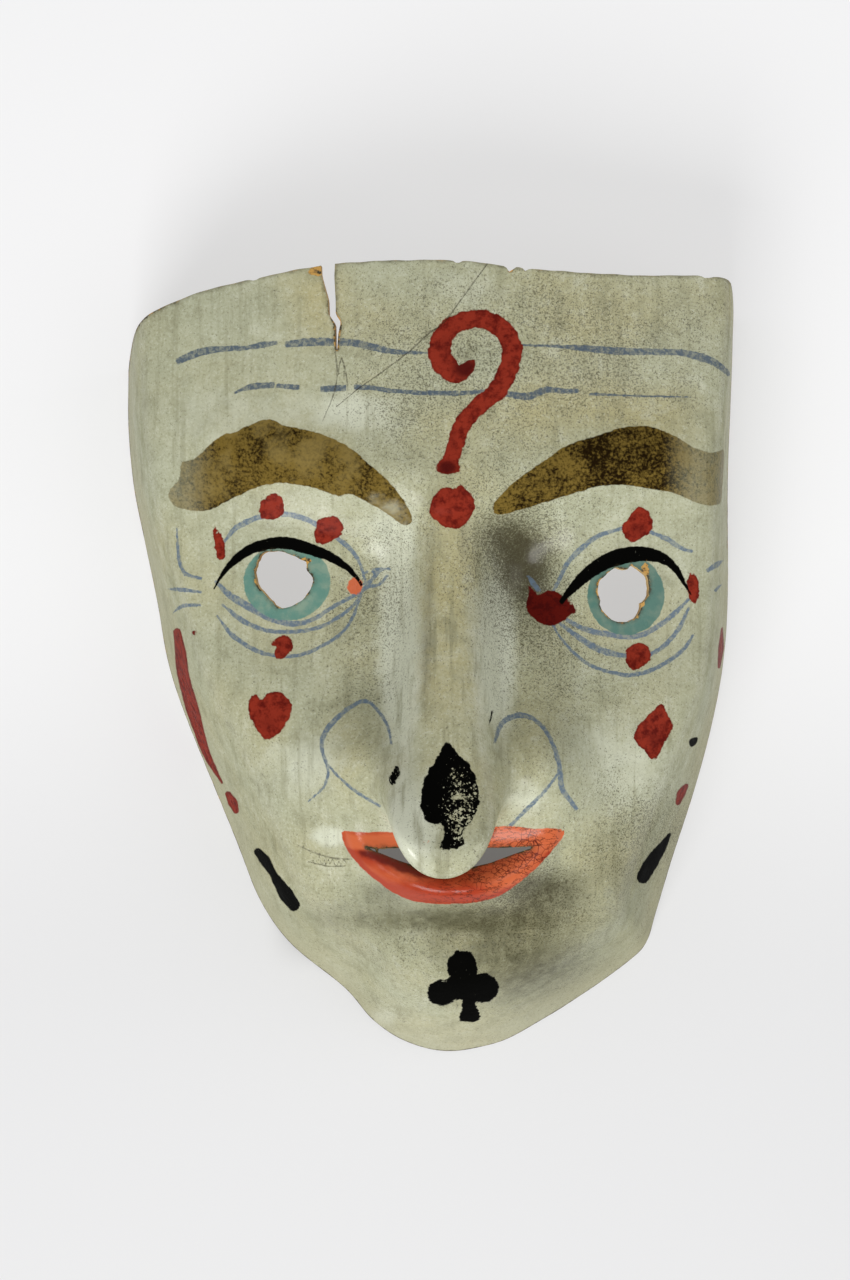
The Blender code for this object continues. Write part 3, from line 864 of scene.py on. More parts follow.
    blue_lines_between: tuple[Stroke, ...] = (
        # Middle under lines, their ends and the lower wing lines
        Stroke(((224, 606), (243, 621), (265, 630), (288, 632), (314, 629), (334, 620),
                (353, 606), (365, 588), (379, 585), (386, 577)),
               (1.2, 2.8, 2.2, 2.0, 2.0, 2.0, 1.8, 1.5, 1.7, 1.4)),
        Stroke(((562, 625), (578, 637), (596, 648), (614, 654), (628, 656)),
               (1.6, 2.6, 3.4, 3.2, 2.0)),
        Stroke(((648, 656), (664, 646), (678, 630), (688, 610)), (1.8, 2.4, 2.2, 1.4)),
        Stroke(((328, 765), (337, 775), (351, 788), (366, 798), (378, 805)),
               (1.2, 1.2, 1.4, 1.6, 1.2)),
        Stroke(((557, 775), (545, 791), (527, 809), (512, 824)), (1.2, 1.6, 2.0, 1.6)),
    )
    hairlines: tuple[Stroke, ...] = (
        Stroke(((487, 264), (454, 309), (441, 325), (430, 332), (413, 348), (407, 353),
                (379, 374), (360, 387), (348, 397), (337, 406)),
               (0.5, 0.7, 0.6, 0.7, 0.8, 0.6, 0.7, 0.5, 0.5, 0.3)),
        Stroke(((335, 352), (337, 365), (337, 378), (333, 396), (323, 420)),
               (0.7, 0.7, 0.4, 0.3, 0.2)),
        Stroke(((341, 356), (345, 368), (348, 388)), (0.4, 0.5, 0.3)),
        Stroke(((298, 845), (315, 853), (333, 858), (350, 859)), (0.3, 0.6, 0.8, 0.5)),
        Stroke(((310, 862), (328, 866), (344, 866)), (0.3, 0.5, 0.3)),
    )
    brows: tuple[Patch | Disc | Stroke, ...] = (
        Patch(((169, 496), (176, 507), (206, 511), (237, 496), (268, 484), (294, 484),
               (321, 490), (338, 496), (348, 494), (360, 498), (386, 513), (405, 526),
               (412, 517), (398, 492), (375, 469), (344, 444), (314, 432), (296, 428),
               (283, 425), (270, 419), (257, 422), (245, 427), (233, 433), (224, 434),
               (206, 448), (195, 459), (181, 463), (180, 478), (171, 488)), 3),
        Patch(((493, 505), (498, 515), (517, 511), (549, 501), (576, 493), (600, 486),
               (628, 485), (651, 489), (671, 492), (687, 499), (703, 505), (722, 503),
               (727, 487), (728, 451), (711, 453), (693, 447), (675, 436), (655, 428),
               (636, 426), (616, 429), (596, 436), (568, 445), (541, 463), (513, 483)), 3),
    )
    irises: tuple[Patch | Disc | Stroke, ...] = (
        Disc((287, 582), (43.5, 38.5)),
        Disc((626, 595), (38.5, 40)),
    )
    lips: tuple[Patch | Disc | Stroke, ...] = (
        Patch(((342, 832), (355, 832), (375, 832), (394, 832), (450, 834), (488, 828),
               (511, 826), (535, 829), (553, 828), (566, 832), (558, 843), (548, 856),
               (530, 874), (509, 890), (492, 899), (470, 903), (440, 904), (413, 901),
               (394, 893), (377, 881), (360, 866), (347, 850)), 3),
    )
    coral: tuple[Patch | Disc | Stroke, ...] = (
        Disc((355, 586), (8, 9)),
        Disc((427, 842), (3, 2)),
    )
    clotted: tuple[Cloud, ...] = (
        Cloud((465, 368), (9, 8), 1.3),
        Cloud((447, 468), (8, 5), 1.3),
        Cloud((447, 345), (7, 10), 0.5),
        Cloud((500, 345), (7, 12), 0.4),
        Cloud((452, 440), (6, 12), 0.4),
        Cloud((640, 530), (8, 7), 0.6),
        Cloud((655, 740), (8, 10), 0.5),
        Cloud((330, 530), (8, 8), 0.4),
        Cloud((268, 725), (10, 10), 0.5),
    )
    chips: tuple[Patch | Disc | Stroke, ...] = (
        Patch(((308, 270), (316, 266), (323, 266), (323, 274), (317, 277), (311, 274)), 3),
        Disc((511, 270), (3.5, 2.5)),
        Disc((306, 562), (6, 4)),
        Disc((645, 570), (4, 9)),
        Disc((641, 603), (3.5, 7)),
    )
    speckle: tuple[Cloud, ...] = (
        Cloud((560, 350), (130, 65), 0.85),
        Cloud((400, 400), (60, 60), 0.55),
        Cloud((520, 560), (42, 62), 1.1),
        Cloud((500, 538), (20, 20), 0.9),
        Cloud((524, 572), (20, 28), 1.2),
        Cloud((520, 892), (36, 22), 1.4),
        Cloud((365, 640), (32, 55), 0.7),
        Cloud((655, 825), (50, 38), 0.9),
        Cloud((560, 670), (45, 60), 0.55),
        Cloud((380, 560), (40, 40), 0.45),
        Cloud((500, 950), (120, 60), 0.4),
        Cloud((215, 370), (80, 90), -0.8),
        Cloud((160, 560), (40, 120), -0.6),
    )
    # Dark soft tone: stains and streaks of dirt, and painted shade at the right of the nose root,
    # under the lower lip, on the chin and on the jaw.
    grime_and_shade: tuple[Cloud, ...] = (
        Cloud((522, 562), (18, 26), 0.95),
        Cloud((535, 590), (26, 40), 0.50),
        Cloud((500, 534), (20, 16), 0.60),
        Cloud((385, 890), (24, 10), 0.55),
        Cloud((560, 680), (26, 44), 0.25),
        Cloud((455, 918), (76, 11), 0.85),
        Cloud((543, 888), (30, 15), 1.05),
        Cloud((530, 965), (60, 36), 1.00),
        Cloud((420, 945), (60, 26), 0.20),
        Cloud((620, 875), (26, 40), 0.45),
        Cloud((426, 650), (5, 50), 0.60),
        Cloud((432, 550), (5, 60), 0.40),
        Cloud((463, 540), (4, 40), 0.40),
        Cloud((388, 555), (7, 30), 0.30),
        Cloud((370, 690), (24, 22), 0.30),
        Cloud((575, 770), (16, 40), 0.30),
        Cloud((340, 915), (50, 34), 0.28),
        Cloud((640, 800), (34, 50), 0.22),
        Cloud((385, 545), (20, 40), 0.16),
        Cloud((230, 800), (30, 60), 0.15),
    )
    # Pale tone: pale wear and patches, and painted highlights on the nose's flanks and tip,
    # beside the nose wings, at the left corner of the mouth and at the inner end of the left
    # brow.
    pale_and_highlight: tuple[Cloud, ...] = (
        Cloud((380, 532), (26, 22), 0.65),
        Cloud((290, 415), (60, 22), 0.35),
        Cloud((315, 760), (24, 24), 0.45),
        Cloud((525, 800), (18, 14), 0.75),
        Cloud((470, 290), (34, 22), 0.50),
        Cloud((200, 430), (50, 60), 0.35),
        Cloud((600, 730), (34, 24), 0.35),
        Cloud((330, 837), (14, 8), 1.20),
        Cloud((383, 1018), (10, 8), 0.90),
        Cloud((372, 496), (9, 4), 0.60),
        Cloud((390, 506), (9, 4), 0.60),
        Cloud((290, 770), (40, 30), 0.35),
        Cloud((620, 890), (26, 40), 0.10),
        Cloud((628, 780), (40, 30), 0.60),
        Cloud((398, 640), (16, 80), 1.15),
        Cloud((497, 650), (14, 60), 1.30),
        Cloud((390, 425), (34, 24), 0.25),
        Cloud((450, 640), (26, 90), 0.30),
        Cloud((412, 828), (20, 32), 1.00),
        Cloud((350, 408), (26, 14), 0.60),
    )
    ochre: tuple[Cloud, ...] = (
        Cloud((450, 560), (22, 70), 0.75),
        Cloud((424, 650), (9, 50), 0.60),
        Cloud((452, 660), (22, 80), 0.45),
        Cloud((600, 410), (100, 22), 0.55),
        Cloud((620, 300), (110, 30), 0.35),
        Cloud((300, 620), (60, 30), 0.20),
        Cloud((620, 625), (55, 25), 0.35),
        Cloud((360, 760), (26, 40), 0.35),
        Cloud((535, 750), (22, 34), 0.35),
        Cloud((450, 930), (80, 40), 0.25),
        Cloud((320, 300), (16, 26), 0.50),
    )

    def fields(self, points: np.ndarray, nose: np.ndarray) -> dict[str, np.ndarray]:
        """Every paint's field over the shell.

        Args:
            points: the shell's points.
            nose: how far up the nose each point is.

        Returns:
            Field values by attribute name.
        """
        places = self.sheet.carried(points)
        found = {
            "sheet_x": (places[:, 0] - self.sheet.middle[0]) / 100,
            "sheet_y": (self.sheet.middle[1] - places[:, 1]) / 100,
            "nose_rise": nose,
        }
        for name in (
            "red", "dark_red", "black", "brows", "irises", "lips", "coral", "chips"
        ):
            found[name] = self.sheet.fill_depth(places, getattr(self, name))
        down_wall = (self.wall_start - points[:, 2]) / self.wall_fade
        found["side_wall"] = self.wall_share * np.clip(down_wall, 0, 1)
        past_end = np.clip((self.side_end - points[:, 2]) * 1000, 0, None)
        found["brows"] = found["brows"] - self.brow_taper * past_end
        for name in ("black_lines", "blue_lines", "blue_lines_between", "hairlines"):
            side, near, wide = self.sheet.line_fields(places, getattr(self, name))
            wide = wide - self.line_taper * past_end
            found[name + "_side"] = side
            found[name + "_near"] = near
            found[name + "_wide"] = wide
        for name in ("speckle", "grime_and_shade", "pale_and_highlight", "ochre", "clotted"):
            found[name] = self.sheet.cloud_tone(places, getattr(self, name))
        return found


def linear(red: int, green: int, blue: int) -> Colour:
    """A colour given as 0 to 255 on screen, in the shader's linear values.

    Args:
        red: the red on screen.
        green: the green on screen.
        blue: the blue on screen.

    Returns:
        The linear colour.
    """
    scaled = [value / 255 for value in (red, green, blue)]
    return tuple(
        value / 12.92 if value <= 0.04045 else ((value + 0.055) / 1.055) ** 2.4
        for value in scaled
    )


class Board:
    """A material's node tree, with short names for the nodes that the finishes use."""

    def __init__(self, name: str) -> None:
        """Starts a material with its shader and object coordinates.

        Args:
            name: the material's name.
        """
        self.material = bpy.data.materials.new(name)
        self.material.use_nodes = True
        self.tree = self.material.node_tree
        self.shader = self.tree.nodes["Principled BSDF"]
        self.place = self.tree.nodes.new("ShaderNodeTexCoord").outputs["Object"]

    def put(self, socket: bpy.types.NodeSocket, value: object) -> None:
        """Links a socket to another, or sets its value.

        Args:
            socket: the input to feed.
            value: another node's output, or a number or colour.
        """
        if isinstance(value, bpy.types.NodeSocket):
            self.tree.links.new(value, socket)
        elif isinstance(value, tuple) and socket.type == "RGBA":
            socket.default_value = (*value, 1.0)
        else:
            socket.default_value = value

    def upward(self) -> bpy.types.NodeSocket:
        """How far the surface faces upward: 1 where it lies flat, 0 on a wall.

        Returns:
            The value's socket.
        """
        split = self.tree.nodes.new("ShaderNodeSeparateXYZ")
        coordinates = self.tree.nodes.new("ShaderNodeTexCoord")
        self.put(split.inputs[0], coordinates.outputs["Normal"])
        return split.outputs["Z"]

    def attribute(self, name: str) -> bpy.types.NodeSocket:
        """The value of a mesh attribute.

        Args:
            name: the attribute's name.

        Returns:
            The value's socket.
        """
        node = self.tree.nodes.new("ShaderNodeAttribute")
        node.attribute_name = name
        return node.outputs["Fac"]

    def math(self, kind: str, *values: object) -> bpy.types.NodeSocket:
        """The result of a math node.

        Args:
            kind: the node's operation.
            values: its inputs in order.

        Returns:
            The result's socket.
        """
        node = self.tree.nodes.new("ShaderNodeMath")
        node.operation = kind
        for socket, value in zip(node.inputs, values):
            self.put(socket, value)
        return node.outputs[0]

    def step(
        self, value: object, low: float, high: float, top: float = 1.0
    ) -> bpy.types.NodeSocket:
        """A smooth step from 0 at low to top at high.

        Args:
            value: the value that the step reads.
            low: where the step starts, which may be above high.
            high: where it ends.
            top: its value from there on.

        Returns:
            The step's socket.
        """
        node = self.tree.nodes.new("ShaderNodeMapRange")
        node.interpolation_type = "SMOOTHSTEP"
        self.put(node.inputs["Value"], value)
        node.inputs["From Min"].default_value = low
        node.inputs["From Max"].default_value = high
        node.inputs["To Max"].default_value = top
        return node.outputs["Result"]

    def stretched(self, scale: tuple[float, float, float]) -> bpy.types.NodeSocket:
        """Object coordinates scaled by axis.

        Args:
            scale: the three scales.

        Returns:
            The scaled coordinates' socket.
        """
        node = self.tree.nodes.new("ShaderNodeMapping")
        self.put(node.inputs["Vector"], self.place)
        node.inputs["Scale"].default_value = scale
        return node.outputs["Vector"]

    def noise(
        self, scale: float, detail: float = 3.0, rough: float = 0.55, vector: object = None
    ) -> bpy.types.NodeSocket:
        """A noise value round 0.5.

        Args:
            scale: how many grains to a metre, roughly.
            detail: how many finer layers it has.
            rough: how strong the finer layers are.
            vector: its coordinates, or None for the object's.

        Returns:
            The value's socket.
        """
        node = self.tree.nodes.new("ShaderNodeTexNoise")
        self.put(node.inputs["Vector"], self.place if vector is None else vector)
        node.inputs["Scale"].default_value = scale
        node.inputs["Detail"].default_value = detail
        node.inputs["Roughness"].default_value = rough
        return node.outputs["Fac"]

    def cells(self, scale: float, feature: str = "F1") -> bpy.types.Node:
        """A Voronoi node on object coordinates.

        Args:
            scale: how many cells to a metre.
            feature: what the node measures.

        Returns:
            The node itself.
        """
        node = self.tree.nodes.new("ShaderNodeTexVoronoi")
        node.feature = feature
        self.put(node.inputs["Vector"], self.place)
        node.inputs["Scale"].default_value = scale
        return node

    def mix(self, share: object, first: object, second: object) -> bpy.types.NodeSocket:
        """Two colours mixed by a share from 0 to 1.

        Args:
            share: how much of the second colour there is.
            first: the colour at 0.
            second: the colour at 1.

        Returns:
            The mixed colour's socket.
        """
        node = self.tree.nodes.new("ShaderNodeMix")
        node.data_type = "RGBA"
        node.clamp_factor = True
        colours = [socket for socket in node.inputs if socket.type == "RGBA"]
        self.put(node.inputs[0], share)
        self.put(colours[0], first)
        self.put(colours[1], second)
        return next(socket for socket in node.outputs if socket.type == "RGBA")

    def spread(self, value: object, centre: float, amount: float) -> bpy.types.NodeSocket:
        """A value moved to lie round 0 and scaled."""
        return self.math("MULTIPLY", self.math("SUBTRACT", value, centre), amount)

    def bump(self, height: object, depth: float, strength: float = 1.0) -> None:
        """Gives the shader a bump from a height value and its depth in metres.

        Args:
            height: the height value.
            depth: the depth of a height of 1.
            strength: how much of the bump shows.
        """
        node = self.tree.nodes.new("ShaderNodeBump")
        node.inputs["Strength"].default_value = strength
        node.inputs["Distance"].default_value = depth
        self.put(node.inputs["Height"], height)
        self.put(self.shader.inputs["Normal"], node.outputs["Normal"])


@dataclass(frozen=True)
class FrontFinish:
    """The painted and varnished front of the shell.

    Bands and spots of the painting are given in hundreds of sheet units from its
    middle. Each size of speck has its grain, how far crowding brings it out, and its
    strength.
    """

    green_ground: Colour = linear(175, 177, 150)
    wall_tone: Colour = linear(176, 173, 144)
    warm_ground: Colour = linear(176, 168, 124)
    pale_ground_and_highlight: Colour = linear(208, 211, 190)
    streak: Colour = linear(130, 128, 98)
    dirt: Colour = linear(62, 56, 38)
    soil_and_shade: Colour = linear(82, 80, 58)
    red: Colour = linear(138, 46, 31)
    deep_red_and_shade: Colour = linear(92, 22, 16)
    ox_red: Colour = linear(70, 16, 14)
    black: Colour = linear(7, 7, 6)
    blue: Colour = linear(90, 108, 126)
    slate: Colour = linear(68, 84, 100)
    teal: Colour = linear(88, 132, 120)
    deep_teal: Colour = linear(34, 80, 74)
    brow_light: Colour = linear(116, 96, 44)
    brow_dark: Colour = linear(30, 20, 7)
    brow_pale: Colour = linear(140, 122, 72)
    coral: Colour = linear(199, 99, 60)
    coral_deep: Colour = linear(164, 58, 32)
    lip_crack: Colour = linear(70, 24, 14)
    raw_core: Colour = linear(190, 146, 74)
    varnish_roughness: float = 0.25
    varnish_shine: float = 0.22
    paint_dulling: float = 0.219
    coat_roughness: float = 0.10
    relief_depth: float = 0.00022
    fill_raggedness: float = 5.0
    line_raggedness: float = 3.0
    specks: tuple[tuple[float, float, float], ...] = ((2400, 0.130, 0.64), (1400, 0.100, 0.50))
    furrow_band: Place = (2.2, 2.4)
    forehead_band: Place = (3.2, 3.5)
    mouth_band: Place = (-1.8, -1.95)
    lower_lip_band: Place = (-2.06, -2.14)
    # The lip slope band is where painted shade lies on the lower lip's inner slope by the mouth
    # slot.
    lip_slope_shade_band: Place = (-2.08, -2.13)
    # The lip crest is where a painted highlight runs along the lower lip.
    lip_crest: float = -2.34
    chin_band: Place = (-2.66, -2.80)
    spade_wear_middle: Place = (0.36, -1.68)
    spade_wear_reach: Place = (0.19, 0.42)
    dark_brow_middle: float = 1.95
    dark_brow_reach: float = 0.55

    def ground(self, board: Board) -> bpy.types.NodeSocket:
        """The grey-green ground with its stains, streaks and speckle, painted shade and painted
        highlights.

        Args:
            board: the material's board.

        Returns:
            The ground's colour.
        """
        wide = board.noise(38, 4)
        fine = board.noise(260, 4, 0.6)
        warmth = board.math("ADD", board.attribute("ochre"), board.spread(wide, 0.5, 1.8))
        colour = board.mix(board.step(warmth, -0.35, 1.0), self.green_ground, self.warm_ground)
        cloudy = board.noise(150, 5, 0.68)
        colour = board.mix(board.step(cloudy, 0.50, 0.72, 0.42), colour, self.pale_ground_and_highlight)
        colour = board.mix(board.step(cloudy, 0.50, 0.30, 0.45), colour, self.streak)
        grain = board.noise(1500, 3, 0.7)
        colour = board.mix(board.step(grain, 0.52, 0.70, 0.55), colour, self.streak)
        colour = board.mix(board.step(grain, 0.46, 0.28, 0.50), colour, self.pale_ground_and_highlight)
        # Pale wear and painted highlights, from the pale field and fine noise.
        pale_and_highlight = board.math("ADD", board.attribute("pale_and_highlight"), board.spread(fine, 0.5, 0.7))
        colour = board.mix(board.step(pale_and_highlight, 0.15, 0.95, 0.9), colour, self.pale_ground_and_highlight)
        brushed = board.noise(1.0, 4, 0.6, board.stretched((520, 26, 120)))
        on_nose = board.step(board.attribute("nose_rise"), 0.10, 0.45, 0.20)
        brushing = board.math(
            "MULTIPLY", board.step(brushed, 0.50, 0.70), board.math("ADD", on_nose, 0.35)
        )
        colour = board.mix(brushing, colour, self.streak)
        # Dirt and painted shade, from the grime field, towards a dark soil tone.
        soiled_and_shaded = board.math(
            "MULTIPLY",
            board.attribute("grime_and_shade"),
            board.math("ADD", board.step(board.noise(300, 4, 0.65), 0.2, 0.8, 0.6), 0.7),
        )
        colour = board.mix(board.step(soiled_and_shaded, 0.0, 1.35, 0.94), colour, self.soil_and_shade)
        colour = board.mix(board.attribute("side_wall"), colour, self.wall_tone)
        return self.speckled(board, colour)

    def speckled(self, board: Board, colour: object) -> bpy.types.NodeSocket:
        """Tiny dark dots, crowded where the speckle field is high.

        Args:
            board: the material's board.
            colour: the colour below.

        Returns:
            The colour with its dots.
        """
        field_value = board.attribute("speckle")
        patchy = board.math("ADD", field_value, board.spread(board.noise(95, 3), 0.5, 1.3))
        crowd = board.step(patchy, -0.35, 1.15)
        crowd = board.math("ADD", crowd, board.step(patchy, 1.0, 2.4, 0.8))
        for scale, reach, strength in self.specks:
            grain = board.noise(scale, 2.5, 0.75)
            grain = board.math("ADD", grain, board.math("MULTIPLY", crowd, reach))
            spot = board.step(grain, 0.635, 0.70, strength)
            colour = board.mix(spot, colour, self.dirt)
        return colour

    def fill_mask(
        self, board: Board, name: str, ragged: float = 1.0, soft: float = 0.6
    ) -> bpy.types.NodeSocket:
        """Where a filled paint lies, with a brushed edge.

        Args:
            board: the material's board.
            name: the paint's field.
            ragged: how uneven its edge is.
            soft: how soft its edge is, in sheet units.

        Returns:
            The paint's share, from 0 to 1.
        """
        rough = board.spread(board.noise(520, 3, 0.6), 0.5, self.fill_raggedness * ragged)
        rough = board.math("MULTIPLY", rough, board.step(board.upward(), 0.0, 0.7))
        depth = board.math("ADD", board.attribute(name), rough)
        return board.step(depth, -soft, soft)

    def line_mask(
        self, board: Board, name: str, ragged: float = 1.0, worn: float = 0.0
    ) -> bpy.types.NodeSocket:
        """Where a thin brush line lies, ragged and here and there worn away.

        Args:
            board: the material's board.
            name: the lines' fields.
            ragged: how uneven their edges are.
            worn: how much of the line is worn away in places.

        Returns:
            The lines' share, from 0 to 1.
        """
        rough = board.spread(board.noise(700, 3, 0.6), 0.5, self.line_raggedness * ragged)
        wide = board.math("ADD", board.attribute(name + "_wide"), rough)
        off = board.math("ABSOLUTE", board.attribute(name + "_side"))
        across = board.step(board.math("SUBTRACT", wide, off), -0.5, 0.5)
        reach = board.math("ADD", board.attribute(name + "_wide"), 2.0)
        close = board.step(
            board.math("SUBTRACT", reach, board.attribute(name + "_near")), -0.6, 0.6
        )
        mask = board.math("MULTIPLY", across, close)
        if worn:
            left = board.step(board.noise(900, 4, 0.7), 0.62, 0.42)
            kept = board.math("ADD", board.math("MULTIPLY", left, worn), 1 - worn)
            mask = board.math("MULTIPLY", mask, kept)
        return mask

    def build(self) -> bpy.types.Material:
        """Makes the front's material.

        Returns:
            The material.
        """
        board = Board("painted_front")
        colour = self.blue_layer(board, self.ground(board))
        colour = self.iris_layer(board, colour)

        clear_of_nose = board.step(board.attribute("nose_rise"), 0.16, 0.08)
        lips = board.math("MULTIPLY", self.fill_mask(board, "lips", 0.6), clear_of_nose)
        colour = board.mix(lips, colour, self.lip_colour(board))
        colour = board.mix(self.fill_mask(board, "coral", 0.8), colour, self.coral)

        brow = self.fill_mask(board, "brows", 0.7)
        colour = self.brow_layer(board, colour, brow)

        red = self.fill_mask(board, "red", 1.3)
        ox_blood = self.fill_mask(board, "dark_red", 0.9)
        colour = self.red_layer(board, colour, red, ox_blood)

        black = board.math(
            "MAXIMUM",
            self.fill_mask(board, "black", 1.6),
            self.line_mask(board, "black_lines", 0.8),
        )
        flaking = board.math("MULTIPLY", black, self.spade_wear(board))
        colour = board.mix(flaking, colour, self.black)

        crack = self.line_mask(board, "hairlines", 0.7, 0.5)
        colour = board.mix(board.math("MULTIPLY", crack, 0.65), colour, self.dirt)
        board.put(board.shader.inputs["Base Color"], self.worn_edges(board, colour))

        dark = board.math("MAXIMUM", flaking, board.math("MAXIMUM", brow, ox_blood))
        dark = board.math("MAXIMUM", dark, board.math("MULTIPLY", red, 0.9))
        self.varnish(board, dark, lips, flaking)
        relief = board.math("MULTIPLY", board.noise(700, 5, 0.65), 0.35)
        relief = board.math("ADD", relief, board.math("MULTIPLY", board.noise(120, 3), 0.9))
        relief = board.math("SUBTRACT", relief, board.math("MULTIPLY", crack, 0.8))
        relief = board.math("ADD", relief, board.math("MULTIPLY", black, 0.10))
        relief = board.math("ADD", relief, board.math("MULTIPLY", red, 0.12))
        board.bump(relief, self.relief_depth)
        return board.material

    def varnish(self, board: Board, dark: object, lips: object, flaking: object) -> None:
        """The varnish's roughness, shine and clear coat.

        Steep walls, dark paint and the part below the lips hardly shine.

        Args:
            board: the material's board.
            dark: where paint that dulls the varnish lies.
            lips: the lips' share.
            flaking: the black paint's share.
        """
        gloss = board.math(
            "ADD", board.spread(board.noise(180, 4), 0.5, 0.25), self.varnish_roughness
        )
        gloss = board.math("ADD", gloss, board.math("MULTIPLY", flaking, 0.2))
        gloss = board.math("SUBTRACT", gloss, board.math("MULTIPLY", lips, 0.06))
        board.put(board.shader.inputs["Roughness"], gloss)
        dull = board.math("MAXIMUM", dark, board.step(board.upward(), 0.70, 0.30))
        below_lips = board.step(board.attribute("sheet_y"), *self.chin_band, 0.85)
        dull = board.math("MAXIMUM", dull, below_lips)
        dulled = board.math("MULTIPLY", dull, self.paint_dulling)
        shine = board.math("SUBTRACT", self.varnish_shine, dulled)
        board.put(board.shader.inputs["Specular IOR Level"], shine)
        up_nose = board.step(board.attribute("nose_rise"), 0.2, 0.6, 2.0)
        board.put(board.shader.inputs["Coat Weight"], board.math("MULTIPLY", shine, up_nose))
        board.shader.inputs["Coat Roughness"].default_value = self.coat_roughness

    def blue_layer(self, board: Board, colour: object) -> bpy.types.NodeSocket:
        """The blue lines of the eyes and the nose, and the slate furrows of the brow.

        Args:
            board: the material's board.
            colour: the colour below.

        Returns:
            The colour with its blue lines.
        """
        blue = board.math(
            "MAXIMUM",
            self.line_mask(board, "blue_lines", 0.9, 0.45),
            self.line_mask(board, "blue_lines_between", 0.9, 0.45),
        )
        furrow = board.step(board.attribute("sheet_y"), *self.furrow_band)
        slate = board.mix(furrow, self.blue, self.slate)
        return board.mix(board.math("MULTIPLY", blue, 0.92), colour, slate)

    def iris_layer(self, board: Board, colour: object) -> bpy.types.NodeSocket:
        """The teal irises, thin in places and deeper in the right eye.

        Args:
            board: the material's board.
            colour: the colour below.

        Returns:
            The colour with its irises.
        """
        iris = self.fill_mask(board, "irises", 0.6)
        thin = board.step(board.noise(300, 4), 0.4, 0.7, 0.3)
        teal = board.mix(thin, self.teal, self.green_ground)
        deeper = board.step(board.attribute("sheet_x"), -1.0, 1.0, 0.42)
        teal = board.mix(deeper, teal, self.deep_teal)
        return board.mix(board.math("MULTIPLY", iris, 0.95), colour, teal)

    def red_layer(
        self, board: Board, colour: object, red: object, ox_blood: object
    ) -> bpy.types.NodeSocket:
        """The red marks, mottled and dark where the paint clotted, and the darkest red.

        Args:
            board: the material's board.
            colour: the colour below.
            red: the red marks' share.
            ox_blood: the darkest red's share.

        Returns:
            The colour with its reds.
        """
        mottled = board.step(board.noise(420, 5, 0.7), 0.42, 0.66)
        paint = board.mix(mottled, self.red, self.deep_red_and_shade)
        clotted = board.step(board.attribute("clotted"), 0.1, 1.1, 0.9)
        paint = board.mix(clotted, paint, self.ox_red)
        border = board.step(board.attribute("red"), 2.2, 0.4, 0.5)
        paint = board.mix(border, paint, self.deep_red_and_shade)
        colour = board.mix(red, colour, paint)
        darkest = board.mix(board.step(mottled, 0.9, 0.1, 0.7), self.ox_red, self.deep_red_and_shade)
        return board.mix(ox_blood, colour, darkest)

    def lip_colour(self, board: Board) -> bpy.types.NodeSocket:
        """Coral lip paint, deeper below, crazed with dark cracks on its right half; painted
        highlight on the lower lip's crest, painted shade on its inner slope.

        Args:
            board: the material's board.

        Returns:
            The lips' colour.
        """
        low = board.step(board.attribute("sheet_y"), *self.lower_lip_band)
        mottled = board.math("ADD", low, board.spread(board.noise(210, 4), 0.5, 0.9))
        lighter = board.step(board.attribute("sheet_x"), 0.30, 1.0, 0.75)
        mottled = board.math("SUBTRACT", mottled, lighter)
        # Painted highlight: the lower lip is lighter along its crest.
        off_crest = board.spread(board.attribute("sheet_y"), self.lip_crest, 1.0)
        off_crest = board.math("ABSOLUTE", off_crest)
        crest = board.step(off_crest, 0.20, 0.04, 0.45)
        mottled = board.math("SUBTRACT", mottled, crest)
        mottled = board.math("ADD", mottled, board.step(board.attribute("lips"), 6.0, 1.0, 0.5))
        colour = board.mix(board.step(mottled, 0.0, 0.9), self.coral, self.coral_deep)
        ragged = board.math(
            "ADD", board.attribute("edge_near"), board.spread(board.noise(300, 3), 0.5, 1.6)
        )
        # Painted shade: deep red on the lower lip's inner slope by the mouth slot, mostly on the
        # left.
        left = board.step(board.attribute("sheet_x"), 0.55, -0.05, 0.8)
        slope = board.step(board.attribute("sheet_y"), *self.lip_slope_shade_band)
        inner = board.math("MULTIPLY", board.step(ragged, 2.9, 1.7), board.math("ADD", left, 0.2))
        inner = board.math("MULTIPLY", inner, slope)
        colour = board.mix(board.math("MULTIPLY", inner, 0.9), colour, self.deep_red_and_shade)
        seam = board.noise(1.0, 4, 0.65, board.stretched((240, 620, 240)))
        run = board.step(board.math("ABSOLUTE", board.spread(seam, 0.5, 1.0)), 0.030, 0.008)
        colour = board.mix(
            board.math("MULTIPLY", run, board.step(board.attribute("sheet_x"), -0.4, 0.5, 0.75)),
            colour,
            self.lip_crack,
        )
        crazed = board.cells(620, "DISTANCE_TO_EDGE").outputs["Distance"]
        fissure = board.step(crazed, 0.07, 0.02)
        right = board.step(board.attribute("sheet_x"), -0.10, 0.60)
        where = board.math("MULTIPLY", right, board.step(board.noise(110, 2), 0.44, 0.6))
        return board.mix(
            board.math("MULTIPLY", fissure, board.math("MULTIPLY", where, 0.85)),
            colour,
            self.deep_red_and_shade,
        )

